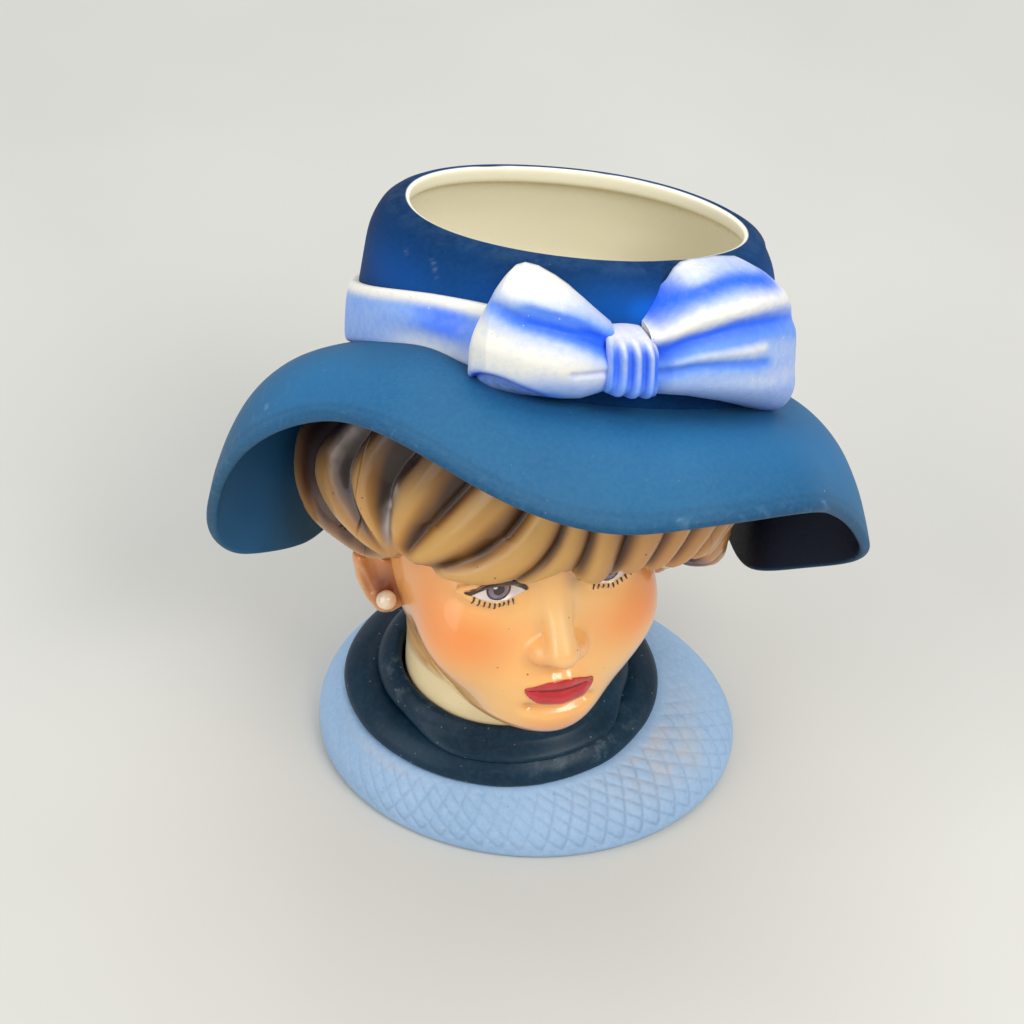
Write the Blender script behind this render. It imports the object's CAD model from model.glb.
"""Looks of the head planter: a painted ceramic bust with a wide-brimmed hat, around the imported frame."""
import math

import bpy
import numpy as np
from mathutils import Matrix


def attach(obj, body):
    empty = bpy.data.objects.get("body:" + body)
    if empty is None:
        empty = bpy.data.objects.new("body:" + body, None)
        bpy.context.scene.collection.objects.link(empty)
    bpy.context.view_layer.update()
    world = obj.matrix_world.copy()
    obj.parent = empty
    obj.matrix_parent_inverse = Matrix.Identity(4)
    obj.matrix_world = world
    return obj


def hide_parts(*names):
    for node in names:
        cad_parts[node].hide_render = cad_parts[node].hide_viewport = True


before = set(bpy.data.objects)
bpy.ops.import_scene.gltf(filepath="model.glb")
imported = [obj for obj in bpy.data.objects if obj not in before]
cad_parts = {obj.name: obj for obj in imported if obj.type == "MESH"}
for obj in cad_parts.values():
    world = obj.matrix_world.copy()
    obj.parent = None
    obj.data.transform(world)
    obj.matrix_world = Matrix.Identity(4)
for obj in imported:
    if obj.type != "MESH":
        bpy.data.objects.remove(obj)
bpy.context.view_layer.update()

MM = 0.001
TAU = 2.0 * math.pi


# ------------------------------------------------------------------ frames (millimetres, as in the CAD)
def tilted(tip, lean, turn=0.0):
    a, r, t = np.radians([tip, lean, turn])
    rx = np.array([[1, 0, 0], [0, np.cos(a), np.sin(a)], [0, -np.sin(a), np.cos(a)]])
    ry = np.array([[np.cos(r), 0, np.sin(r)], [0, 1, 0], [-np.sin(r), 0, np.cos(r)]])
    rz = np.array([[np.cos(t), -np.sin(t), 0], [np.sin(t), np.cos(t), 0], [0, 0, 1]])
    return rz @ ry @ rx


HEAD_TIP, HEAD_LEAN, HEAD_TURN = 12.0, 5.0, 9.0
CHIN = np.array([1.0, -44.0, 44.0])
HEAD = tilted(HEAD_TIP, HEAD_LEAN, HEAD_TURN)
FOOT_TIP, FOOT_LEAN, MOUTH_TIP, MOUTH_LEAN = 30.0, 4.0, 19.5, 3.2
FOOT = np.array([4.5, 7.0, 107.8])
MOUTH = np.array([5.1, 17.0, 142.5])
HAT = tilted(FOOT_TIP, FOOT_LEAN)
CROWN_DROP = 3.6


def to_head(p):
    return (p - CHIN) @ HEAD


def from_head(q):
    return CHIN + np.asarray(q, float) @ HEAD.T


# face and ears are turned a little more than the skull
FACE = tilted(HEAD_TIP, 0.0, 20.0)
PIVOT = np.array([0.0, 33.0, 30.0])


def to_face(p):
    return (p - from_head(PIVOT)) @ FACE + PIVOT


def from_face(q):
    return from_head(PIVOT) + (np.asarray(q, float) - PIVOT) @ FACE.T


def crown_frames(t):
    """Origins and axes between the crown's foot (0) and its mouth (1)."""
    t = np.atleast_1d(np.asarray(t, float))
    mats = np.stack([tilted(FOOT_TIP + (MOUTH_TIP - FOOT_TIP) * v, FOOT_LEAN + (MOUTH_LEAN - FOOT_LEAN) * v) for v in t])
    return FOOT + (MOUTH - FOOT) * t[:, None], mats


# ------------------------------------------------------------------ small numeric helpers
def smooth(a, b, x):
    t = np.clip((x - a) / (b - a), 0.0, 1.0)
    return t * t * (3.0 - 2.0 * t)


def hash01(i):
    v = np.sin(np.asarray(i, float) * 127.1 + 311.7) * 43758.5453
    return v - np.floor(v)


def value_noise(p, scale, seed=0.0):
    """Smooth noise in -1..1 at points p (N, 3)."""
    q = np.asarray(p, float) / scale
    i = np.floor(q)
    f = q - i
    f = f * f * (3 - 2 * f)
    out = np.zeros(q.shape[:-1])
    for dx in (0, 1):
        for dy in (0, 1):
            for dz in (0, 1):
                h = hash01((i[..., 0] + dx) * 1.0 + (i[..., 1] + dy) * 57.0 + (i[..., 2] + dz) * 113.0 + seed * 17.3)
                w = (f[..., 0] if dx else 1 - f[..., 0]) * (f[..., 1] if dy else 1 - f[..., 1]) * (f[..., 2] if dz else 1 - f[..., 2])
                out += w * h
    return out * 2.0 - 1.0


def curve_through(pts, n, closed=False):
    """Points on a smooth curve through pts (any dimension), evenly spread by key spacing."""
    p = np.asarray(pts, float)
    m = len(p)
    if closed:
        t = np.linspace(0, m, n, endpoint=False)
        i = np.floor(t).astype(int)
        g = [p[(i + k) % m] for k in (-1, 0, 1, 2)]
    else:
        t = np.linspace(0, m - 1, n)
        i = np.minimum(np.floor(t).astype(int), m - 2)
        ext = np.vstack([2 * p[0] - p[1], p, 2 * p[-1] - p[-2]])
        g = [ext[i + k] for k in (0, 1, 2, 3)]
    f = (t - i)[:, None]
    a, b, c, d = g
    return 0.5 * (2 * b + (c - a) * f + (2 * a - 5 * b + 4 * c - d) * f ** 2 + (3 * b - a - 3 * c + d) * f ** 3)


def ring_smooth(v, width):
    """Round smoothing of values on a closed ring."""
    k = np.arange(-3 * width, 3 * width + 1)
    w = np.exp(-0.5 * (k / width) ** 2)
    w /= w.sum()
    return sum(wi * np.roll(v, int(ki), axis=0) for ki, wi in zip(k, w))


# ------------------------------------------------------------------ meshes
def grid_faces(nu, nv, close_u=True, close_v=False):
    iu = np.arange(nu if close_u else nu - 1)
    iv = np.arange(nv if close_v else nv - 1)
    a, b = np.meshgrid(iu, iv, indexing="ij")
    a1, b1 = (a + 1) % nu, (b + 1) % nv
    return np.stack([a * nv + b, a1 * nv + b, a1 * nv + b1, a * nv + b1], -1).reshape(-1, 4)


def make(name, verts, faces, material, attrs=None, node=None, colors=None):
    """One mesh object in metres that rides on the root body and stands for a CAD node."""
    me = bpy.data.meshes.new(name)
    v = np.asarray(verts, float) * MM
    f = np.asarray(faces)
    # outward faces: a closed mesh has a positive volume
    t0, t1, t2, t3 = (v[f[:, i]] - v.mean(0) for i in (0, 1, 2, 3))
    if (np.cross(t0, t1) * t2).sum() + (np.cross(t0, t2) * t3).sum() < 0:
        f = f[:, ::-1]
    me.vertices.add(len(v))
    me.vertices.foreach_set("co", v.ravel())
    k = f.shape[1]
    me.loops.add(f.size)
    me.loops.foreach_set("vertex_index", f.ravel().astype(np.int32))
    me.polygons.add(len(f))
    me.polygons.foreach_set("loop_start", np.arange(0, f.size, k, dtype=np.int32))
    me.polygons.foreach_set("use_smooth", np.ones(len(f), bool))
    me.update(calc_edges=True)
    me.validate()
    for key, val in (attrs or {}).items():
        at = me.attributes.new(key, "FLOAT", "POINT")
        at.data.foreach_set("value", np.asarray(val, np.float32).ravel())
    for key, val in (colors or {}).items():
        at = me.attributes.new(key, "FLOAT_COLOR", "POINT")
        rgba = np.ones((len(v), 4), np.float32)
        rgba[:, :3] = val
        at.data.foreach_set("color", rgba.ravel())
    ob = bpy.data.objects.new(name, me)
    bpy.context.scene.collection.objects.link(ob)
    me.materials.append(material)
    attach(ob, "root")
    if node:
        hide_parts(node)
    return ob


# ------------------------------------------------------------------ materials
def new_material(name, rough=0.5, specular=0.5, coat=0.0, coat_rough=0.08, ior=1.5, subsurface=0.0):
    m = bpy.data.materials.new(name)
    m.use_nodes = True
    nt = m.node_tree
    bsdf = nt.nodes["Principled BSDF"]
    bsdf.inputs["Roughness"].default_value = rough
    bsdf.inputs["Specular IOR Level"].default_value = specular
    bsdf.inputs["IOR"].default_value = ior
    bsdf.inputs["Coat Weight"].default_value = coat
    bsdf.inputs["Coat Roughness"].default_value = coat_rough
    if subsurface:
        bsdf.inputs["Subsurface Weight"].default_value = subsurface
        bsdf.inputs["Subsurface Radius"].default_value = (0.0016, 0.0009, 0.0005)
        bsdf.inputs["Subsurface Scale"].default_value = 1.0
    return m, nt, bsdf


class Nodes:
    """Short hand for building a node tree."""

    def __init__(self, nt):
        self.nt = nt
        self.coord = nt.nodes.new("ShaderNodeTexCoord")

    def new(self, kind, **kw):
        n = self.nt.nodes.new(kind)
        for k, v in kw.items():
            setattr(n, k, v)
        return n

    def link(self, a, b):
        self.nt.links.new(a, b)

    def attr(self, name):
        return self.new("ShaderNodeAttribute", attribute_name=name).outputs["Fac"]

    def color_attr(self, name):
        return self.new("ShaderNodeAttribute", attribute_name=name).outputs["Color"]

    def noise(self, scale, detail=3.0, rough=0.55, offset=(0, 0, 0), stretch=(1, 1, 1)):
        mp = self.new("ShaderNodeMapping")
        mp.inputs["Location"].default_value = offset
        mp.inputs["Scale"].default_value = stretch
        self.link(self.coord.outputs["Object"], mp.inputs["Vector"])
        n = self.new("ShaderNodeTexNoise")
        n.inputs["Scale"].default_value = scale
        n.inputs["Detail"].default_value = detail
        n.inputs["Roughness"].default_value = rough
        self.link(mp.outputs["Vector"], n.inputs["Vector"])
        return n.outputs["Fac"]

    def specks(self, scale, size, offset=(0, 0, 0)):
        """1 on small scattered dots, 0 elsewhere."""
        mp = self.new("ShaderNodeMapping")
        mp.inputs["Location"].default_value = offset
        self.link(self.coord.outputs["Object"], mp.inputs["Vector"])
        v = self.new("ShaderNodeTexVoronoi", feature="F1")
        v.inputs["Scale"].default_value = scale
        self.link(mp.outputs["Vector"], v.inputs["Vector"])
        return self.ramp(v.outputs["Distance"], [(size * 0.6, 1.0), (size, 0.0)])

    def ramp(self, fac, stops):
        r = self.new("ShaderNodeValToRGB")
        el = r.color_ramp.elements
        while len(el) < len(stops):
            el.new(0.5)
        for e, (pos, val) in zip(el, stops):
            e.position = pos
            e.color = (val, val, val, 1.0) if np.isscalar(val) else tuple(val) + (1.0,)
        self.link(fac, r.inputs["Fac"])
        return r.outputs["Color"]

    def math(self, op, a, b=0.0, clamp=False):
        n = self.new("ShaderNodeMath", operation=op, use_clamp=clamp)
        for sock, val in ((n.inputs[0], a), (n.inputs[1], b)):
            if hasattr(val, "is_linked"):
                self.link(val, sock)
            else:
                sock.default_value = val
        return n.outputs[0]

    def bump(self, height, strength, distance, bsdf, coat=False):
        b = self.new("ShaderNodeBump")
        b.inputs["Strength"].default_value = strength
        b.inputs["Distance"].default_value = distance
        self.link(height, b.inputs["Height"])
        self.link(b.outputs["Normal"], bsdf.inputs["Normal"])
        return b


def color_mix(N, fac, a, b, kind="MIX"):
    """Mix node with its colour sockets picked by type."""
    n = N.nt.nodes.new("ShaderNodeMix")
    n.data_type = "RGBA"
    n.blend_type = kind
    n.clamp_factor = True
    fac_in = n.inputs[0]
    col = [s for s in n.inputs if s.type == "RGBA"]
    out = [s for s in n.outputs if s.type == "RGBA"][0]
    for sock, val in ((fac_in, fac), (col[0], a), (col[1], b)):
        if hasattr(val, "is_linked"):
            N.link(val, sock)
        elif np.isscalar(val):
            sock.default_value = val
        else:
            sock.default_value = tuple(val) + (1.0,)
    return out


def srgb(r, g, b):
    c = np.array([r, g, b], float) / 255.0
    return tuple(np.where(c <= 0.04045, c / 12.92, ((c + 0.055) / 1.055) ** 2.4))


# ------------------------------------------------------------------ the paints and glazes
def crown_material():
    """Matt navy cold paint outside with airbrushed brighter patches, cream glaze inside."""
    m, nt, b = new_material("crown_paint", rough=0.62, specular=0.08)
    N = Nodes(nt)
    cloud = N.ramp(N.noise(28.0, 3.0, 0.5), [(0.38, 0.0), (0.72, 1.0)])
    navy = color_mix(N, cloud, srgb(4, 40, 78), srgb(6, 58, 108))
    patch = N.attr("patch")
    navy = color_mix(N, patch, navy, srgb(14, 98, 196))
    grain = N.ramp(N.noise(900.0, 2.0, 0.6), [(0.35, 0.0), (0.75, 1.0)])
    navy = color_mix(N, N.math("MULTIPLY", grain, 0.14), navy, srgb(44, 98, 146))
    worn = N.math("MULTIPLY", N.attr("wear"), N.ramp(N.noise(160.0, 4.0, 0.65), [(0.45, 0.0), (0.62, 1.0)]))
    navy = color_mix(N, worn, navy, srgb(96, 132, 160))
    dust = N.math("MULTIPLY", N.specks(700.0, 0.1), N.ramp(N.noise(70.0, 2.0), [(0.45, 0.0), (0.65, 1.0)]))
    navy = color_mix(N, N.math("MULTIPLY", dust, 0.3), navy, srgb(120, 152, 184))
    navy = color_mix(N, N.attr("scratch"), navy, srgb(140, 160, 170))
    cream = color_mix(N, N.ramp(N.noise(22.0, 2.0), [(0.3, 0.0), (0.7, 1.0)]), srgb(250, 245, 216), srgb(253, 249, 226))
    cream = color_mix(N, N.attr("pool"), cream, srgb(230, 219, 176))
    inside = N.attr("inside")
    lip = N.attr("lip")
    base = color_mix(N, inside, navy, cream)
    base = color_mix(N, lip, base, srgb(246, 242, 228))
    N.link(base, b.inputs["Base Color"])
    rough = N.math("ADD", N.math("MULTIPLY", inside, -0.32), N.math("ADD", N.math("MULTIPLY", grain, 0.12), 0.58))
    N.link(rough, b.inputs["Roughness"])
    N.bump(N.math("ADD", N.math("MULTIPLY", grain, N.math("SUBTRACT", 1.0, inside)), N.noise(60.0, 2.0)), 0.12, 0.0003, b)
    return m


def brim_material():
    """Steel blue matt paint, brighter where airbrushed, nearly black navy underneath, pale worn edge."""
    m, nt, b = new_material("brim_paint", rough=0.58, specular=0.18)
    N = Nodes(nt)
    cloud = N.ramp(N.noise(24.0, 3.0, 0.55), [(0.3, 0.0), (0.75, 1.0)])
    top = color_mix(N, cloud, srgb(27, 84, 124), srgb(38, 102, 142))
    top = color_mix(N, N.attr("bright"), top, srgb(30, 112, 168))
    top = color_mix(N, N.attr("dusty"), top, srgb(50, 80, 102))
    top = color_mix(N, N.attr("shade"), top, srgb(14, 52, 84))
    under = color_mix(N, cloud, srgb(30, 82, 122), srgb(38, 96, 138))
    under = color_mix(N, N.attr("dark"), under, srgb(0, 16, 38))
    side = N.attr("under")
    base = color_mix(N, side, top, under)
    grain = N.ramp(N.noise(1000.0, 2.0, 0.65), [(0.3, 0.0), (0.8, 1.0)])
    base = color_mix(N, N.math("MULTIPLY", N.math("MULTIPLY", grain, 0.12), N.math("SUBTRACT", 1.0, N.math("MULTIPLY", side, 0.9))), base, srgb(104, 148, 180))
    dust = N.math("MULTIPLY", N.specks(520.0, 0.09), N.ramp(N.noise(90.0, 2.0), [(0.46, 0.0), (0.7, 1.0)]))
    base = color_mix(N, N.math("MULTIPLY", N.math("MULTIPLY", dust, 0.4), N.math("SUBTRACT", 1.0, side)), base, srgb(140, 172, 196))
    big = N.specks(120.0, 0.034, (0.013, 0.007, 0.0))
    base = color_mix(N, N.math("MULTIPLY", N.math("MULTIPLY", big, 0.7), N.math("SUBTRACT", 1.0, side)), base, srgb(160, 192, 214))
    rim = N.math("MULTIPLY", N.attr("rim"), N.ramp(N.noise(330.0, 4.0, 0.7), [(0.56, 0.0), (0.68, 1.0)]))
    base = color_mix(N, N.math("MULTIPLY", rim, 0.16), base, srgb(110, 150, 178))
    base = color_mix(N, N.attr("chip"), base, srgb(150, 190, 222))
    scuff = N.math("MULTIPLY", N.attr("scuff"), N.ramp(N.noise(300.0, 4.0, 0.7, stretch=(1, 1, 3)), [(0.56, 0.0), (0.64, 1.0)]))
    base = color_mix(N, N.math("MULTIPLY", scuff, 0.2), base, srgb(120, 152, 174))
    N.link(base, b.inputs["Base Color"])
    N.link(N.math("ADD", N.math("MULTIPLY", grain, 0.12), 0.5), b.inputs["Roughness"])
    N.bump(N.math("ADD", grain, N.math("MULTIPLY", N.noise(140.0, 2.0), 2.0)), 0.1, 0.0003, b)
    return m


def ribbon_material():
    """Cream bisque on the crests, airbrushed periwinkle, saturated blue in the folds (masks on the mesh)."""
    m, nt, b = new_material("ribbon_paint", rough=0.5, specular=0.35)
    N = Nodes(nt)
    grain = N.noise(700.0, 2.0, 0.6)
    spray = N.ramp(grain, [(0.3, 0.0), (0.7, 1.0)])
    peri = N.attr("peri")
    peri = N.math("ADD", peri, N.math("MULTIPLY", N.math("SUBTRACT", grain, 0.5), 0.2), True)
    blue = N.math("ADD", N.attr("blue"), N.math("MULTIPLY", N.math("SUBTRACT", grain, 0.5), 0.25), True)
    base = color_mix(N, peri, srgb(244, 241, 228), srgb(116, 164, 238))
    base = color_mix(N, blue, base, srgb(36, 104, 246))
    base = color_mix(N, N.math("MULTIPLY", N.attr("grime"), spray), base, srgb(120, 132, 160))
    base = color_mix(N, N.math("MULTIPLY", N.specks(360.0, 0.05, (0.004, 0.0, 0.002)), 0.45), base, srgb(70, 84, 120))
    base = color_mix(N, N.math("MULTIPLY", N.specks(300.0, 0.06, (0.0, 0.011, 0.003)), 0.5), base, srgb(250, 248, 240))
    N.link(base, b.inputs["Base Color"])
    N.link(N.math("ADD", N.math("MULTIPLY", spray, 0.12), 0.42), b.inputs["Roughness"])
    N.bump(grain, 0.08, 0.00025, b)
    return m


def hair_material():
    """Golden tan with airbrushed brown in the grooves and near the hat, under a clear gloss."""
    m, nt, b = new_material("hair_glaze", rough=0.36, specular=0.3, coat=0.45, coat_rough=0.12)
    N = Nodes(nt)
    strand = N.noise(150.0, 4.0, 0.6, stretch=(1.0, 1.0, 0.35))
    gold = color_mix(N, N.ramp(strand, [(0.3, 0.0), (0.7, 1.0)]), srgb(176, 117, 46), srgb(200, 143, 64))
    gold = color_mix(N, N.attr("light"), gold, srgb(224, 180, 108))
    gold = color_mix(N, N.attr("rosy"), gold, srgb(196, 136, 84))
    groove = N.attr("groove")
    groove = N.math("ADD", groove, N.math("MULTIPLY", N.math("SUBTRACT", strand, 0.5), 0.35), True)
    base = color_mix(N, groove, gold, srgb(76, 38, 12))
    base = color_mix(N, N.attr("deep"), base, srgb(40, 18, 6))
    base = color_mix(N, N.attr("scuff"), base, srgb(176, 160, 152))
    spots = N.math("MULTIPLY", N.specks(330.0, 0.1, (0.002, 0.0, 0.001)), N.ramp(N.noise(80.0, 2.0), [(0.45, 0.0), (0.6, 1.0)]))
    base = color_mix(N, N.math("MULTIPLY", spots, 0.75), base, srgb(58, 36, 20))
    N.link(base, b.inputs["Base Color"])
    N.bump(strand, 0.1, 0.0004, b)
    return m


def skin_material():
    """Peach bisque paint under a clear gloss, orange blush from the airbrush, tiny iron specks."""
    m, nt, b = new_material("skin_glaze", rough=0.3, specular=0.5, coat=0.7, coat_rough=0.06, subsurface=0.05)
    N = Nodes(nt)
    soft = N.ramp(N.noise(40.0, 2.0), [(0.3, 0.0), (0.7, 1.0)])
    base = color_mix(N, soft, srgb(252, 186, 106), srgb(253, 198, 122))
    base = color_mix(N, N.attr("blush"), base, srgb(244, 130, 48))
    base = color_mix(N, N.attr("pale"), base, srgb(252, 234, 186))
    base = color_mix(N, N.attr("tan"), base, srgb(186, 112, 58))
    base = color_mix(N, N.attr("inside"), base, srgb(230, 219, 184))
    spots = N.math("MULTIPLY", N.specks(250.0, 0.075, (0.001, 0.004, 0.0)), N.ramp(N.noise(60.0, 2.0, offset=(0.02, 0, 0)), [(0.46, 0.0), (0.58, 1.0)]))
    base = color_mix(N, N.math("MULTIPLY", spots, 0.8), base, srgb(92, 52, 26))
    N.link(base, b.inputs["Base Color"])
    N.bump(N.noise(180.0, 2.0), 0.05, 0.0003, b)
    return m


def plain_paint(name, dark, light, scale, rough=0.35, coat=0.6, coat_rough=0.08):
    """A brushed-on spot colour with a little unevenness."""
    m, nt, b = new_material(name, rough=rough, coat=coat, coat_rough=coat_rough)
    N = Nodes(nt)
    n = N.noise(scale, 3.0, 0.6)
    N.link(color_mix(N, N.ramp(n, [(0.3, 0.0), (0.7, 1.0)]), dark, light), b.inputs["Base Color"])
    N.bump(n, 0.06, 0.0002, b)
    return m


def collar_material():
    m, nt, b = new_material("collar_paint", rough=0.45, specular=0.2, coat=0.05, coat_rough=0.3)
    N = Nodes(nt)
    cloud = N.ramp(N.noise(40.0, 3.0), [(0.3, 0.0), (0.7, 1.0)])
    base = color_mix(N, cloud, srgb(7, 34, 52), srgb(12, 46, 66))
    grain = N.noise(800.0, 2.0, 0.6)
    base = color_mix(N, N.math("MULTIPLY", N.ramp(grain, [(0.45, 0.0), (0.8, 1.0)]), 0.22), base, srgb(50, 82, 104))
    dust = N.math("MULTIPLY", N.attr("dust"), N.ramp(N.noise(260.0, 4.0, 0.7), [(0.5, 0.0), (0.68, 1.0)]))
    base = color_mix(N, N.math("MULTIPLY", dust, 0.6), base, srgb(128, 146, 156))
    base = color_mix(N, N.math("MULTIPLY", N.specks(400.0, 0.1), 0.4), base, srgb(150, 168, 178))
    N.link(base, b.inputs["Base Color"])
    N.link(N.math("ADD", N.math("MULTIPLY", grain, 0.2), 0.32), b.inputs["Roughness"])
    N.bump(grain, 0.08, 0.0003, b)
    return m


def base_material():
    m, nt, b = new_material("base_paint", rough=0.6, specular=0.3)
    N = Nodes(nt)
    cloud = N.ramp(N.noise(26.0, 3.0), [(0.3, 0.0), (0.7, 1.0)])
    base = color_mix(N, cloud, srgb(142, 175, 208), srgb(158, 189, 221))
    base = color_mix(N, N.attr("line"), base, srgb(116, 142, 172))
    base = color_mix(N, N.math("MULTIPLY", N.attr("dirt"), N.ramp(N.noise(120.0, 4.0, 0.65), [(0.35, 0.0), (0.7, 1.0)])), base, srgb(196, 190, 184))
    grain = N.noise(900.0, 2.0, 0.6)
    base = color_mix(N, N.math("MULTIPLY", N.ramp(grain, [(0.4, 0.0), (0.8, 1.0)]), 0.25), base, srgb(196, 214, 236))
    base = color_mix(N, N.math("MULTIPLY", N.specks(300.0, 0.08), 0.4), base, srgb(92, 110, 140))
    base = color_mix(N, N.attr("foot"), base, srgb(226, 218, 200))
    N.link(base, b.inputs["Base Color"])
    N.bump(grain, 0.1, 0.0003, b)
    return m


def pearl_material():
    m, nt, b = new_material("pearl_lacquer", rough=0.18, specular=0.6, coat=0.8, coat_rough=0.05)
    N = Nodes(nt)
    n = N.ramp(N.noise(500.0, 2.0), [(0.3, 0.0), (0.7, 1.0)])
    base = color_mix(N, n, srgb(226, 200, 164), srgb(240, 222, 194))
    N.link(base, b.inputs["Base Color"])
    return m


def ear_material():
    """Orange-tan like the shaded skin, deep brown from the airbrush in the hollow of the ear."""
    m, nt, b = new_material("ear_glaze", rough=0.3, specular=0.5, coat=0.7, coat_rough=0.06, subsurface=0.05)
    N = Nodes(nt)
    soft = N.noise(120.0, 3.0, 0.6)
    base = color_mix(N, N.ramp(soft, [(0.3, 0.0), (0.7, 1.0)]), srgb(214, 132, 62), srgb(228, 152, 80))
    hollow = N.math("ADD", N.attr("tan"), N.math("MULTIPLY", N.math("SUBTRACT", soft, 0.5), 0.3), True)
    base = color_mix(N, hollow, base, srgb(132, 66, 24))
    base = color_mix(N, N.attr("pale"), base, srgb(222, 178, 124))
    N.link(base, b.inputs["Base Color"])
    N.bump(N.noise(180.0, 2.0), 0.05, 0.0003, b)
    return m


def brass_material():
    m, nt, b = new_material("pin_brass", rough=0.35)
    b.inputs["Metallic"].default_value = 1.0
    N = Nodes(nt)
    n = N.noise(800.0, 3.0)
    N.link(color_mix(N, n, srgb(150, 116, 54), srgb(196, 160, 86)), b.inputs["Base Color"])
    return m


def floor_material():
    m, nt, b = new_material("floor_pale", rough=0.75, specular=0.2)
    N = Nodes(nt)
    n = N.ramp(N.noise(6.0, 3.0), [(0.3, 0.0), (0.7, 1.0)])
    N.link(color_mix(N, n, srgb(204, 203, 196), srgb(211, 210, 203)), b.inputs["Base Color"])
    return m


MAT_CROWN, MAT_BRIM, MAT_RIBBON = crown_material(), brim_material(), ribbon_material()
MAT_HAIR, MAT_SKIN, MAT_COLLAR = hair_material(), skin_material(), collar_material()
MAT_BASE, MAT_PEARL, MAT_BRASS, MAT_EAR = base_material(), pearl_material(), brass_material(), ear_material()


def bump_at(phi, h, centre, size, turn=0.0):
    """Soft spot in (angle, height) space, 1 at its centre."""
    du = (phi - centre[0]) / size[0]
    dv = (h - centre[1]) / size[1]
    c, s = math.cos(turn), math.sin(turn)
    return np.exp(-((du * c + dv * s) ** 2 + (-du * s + dv * c) ** 2))


def stroke(p, pts, width):
    """1 close to a polyline given in the same plane as p (N, 2), falling off over width."""
    best = np.full(len(p), 1e9)
    pts = np.asarray(pts, float)
    for a, b in zip(pts[:-1], pts[1:]):
        ab = b - a
        t = np.clip(((p - a) @ ab) / (ab @ ab), 0, 1)
        best = np.minimum(best, np.linalg.norm(p - (a + t[:, None] * ab), axis=1))
    return np.exp(-(best / width) ** 2)


# ------------------------------------------------------------------ hat crown
CROWN_OUT = np.array([(0, 44.5, 38.5), (0.3, 44.2, 38.0), (0.6, 43.4, 37.2), (0.84, 42.2, 36.0), (0.95, 40.6, 34.2), (1.0, 38.4, 31.9)])
CROWN_IN = np.array([(0, 41.1, 35.1), (0.3, 40.8, 34.6), (0.6, 39.9, 33.7), (0.84, 37.8, 31.5), (1.0, 36.0, 29.5)])
CROWN_RISE = float(np.linalg.norm(MOUTH - FOOT))


def crown_wall(phi, h, off=0.0):
    """Points on the outer wall of the crown: angle (0 = front, + = right), height and distance off the wall."""
    phi, h, off = np.broadcast_arrays(np.asarray(phi, float), np.asarray(h, float), np.asarray(off, float))
    t = h / CROWN_RISE
    tip = np.radians(FOOT_TIP + (MOUTH_TIP - FOOT_TIP) * t)
    lean = np.radians(FOOT_LEAN + (MOUTH_LEAN - FOOT_LEAN) * t)
    a = np.interp(t, CROWN_OUT[:, 0], CROWN_OUT[:, 1]) + off
    b = np.interp(t, CROWN_OUT[:, 0], CROWN_OUT[:, 2]) + off
    x, y = a * np.sin(np.radians(phi)), -b * np.cos(np.radians(phi))
    # tipped, then leaning
    y1, z1 = y * np.cos(tip), -y * np.sin(tip)
    x2, z2 = x * np.cos(lean) + z1 * np.sin(lean), -x * np.sin(lean) + z1 * np.cos(lean)
    o = FOOT + (MOUTH - FOOT) * t[..., None]
    return o + np.stack([x2, y1, z2], -1)


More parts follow.
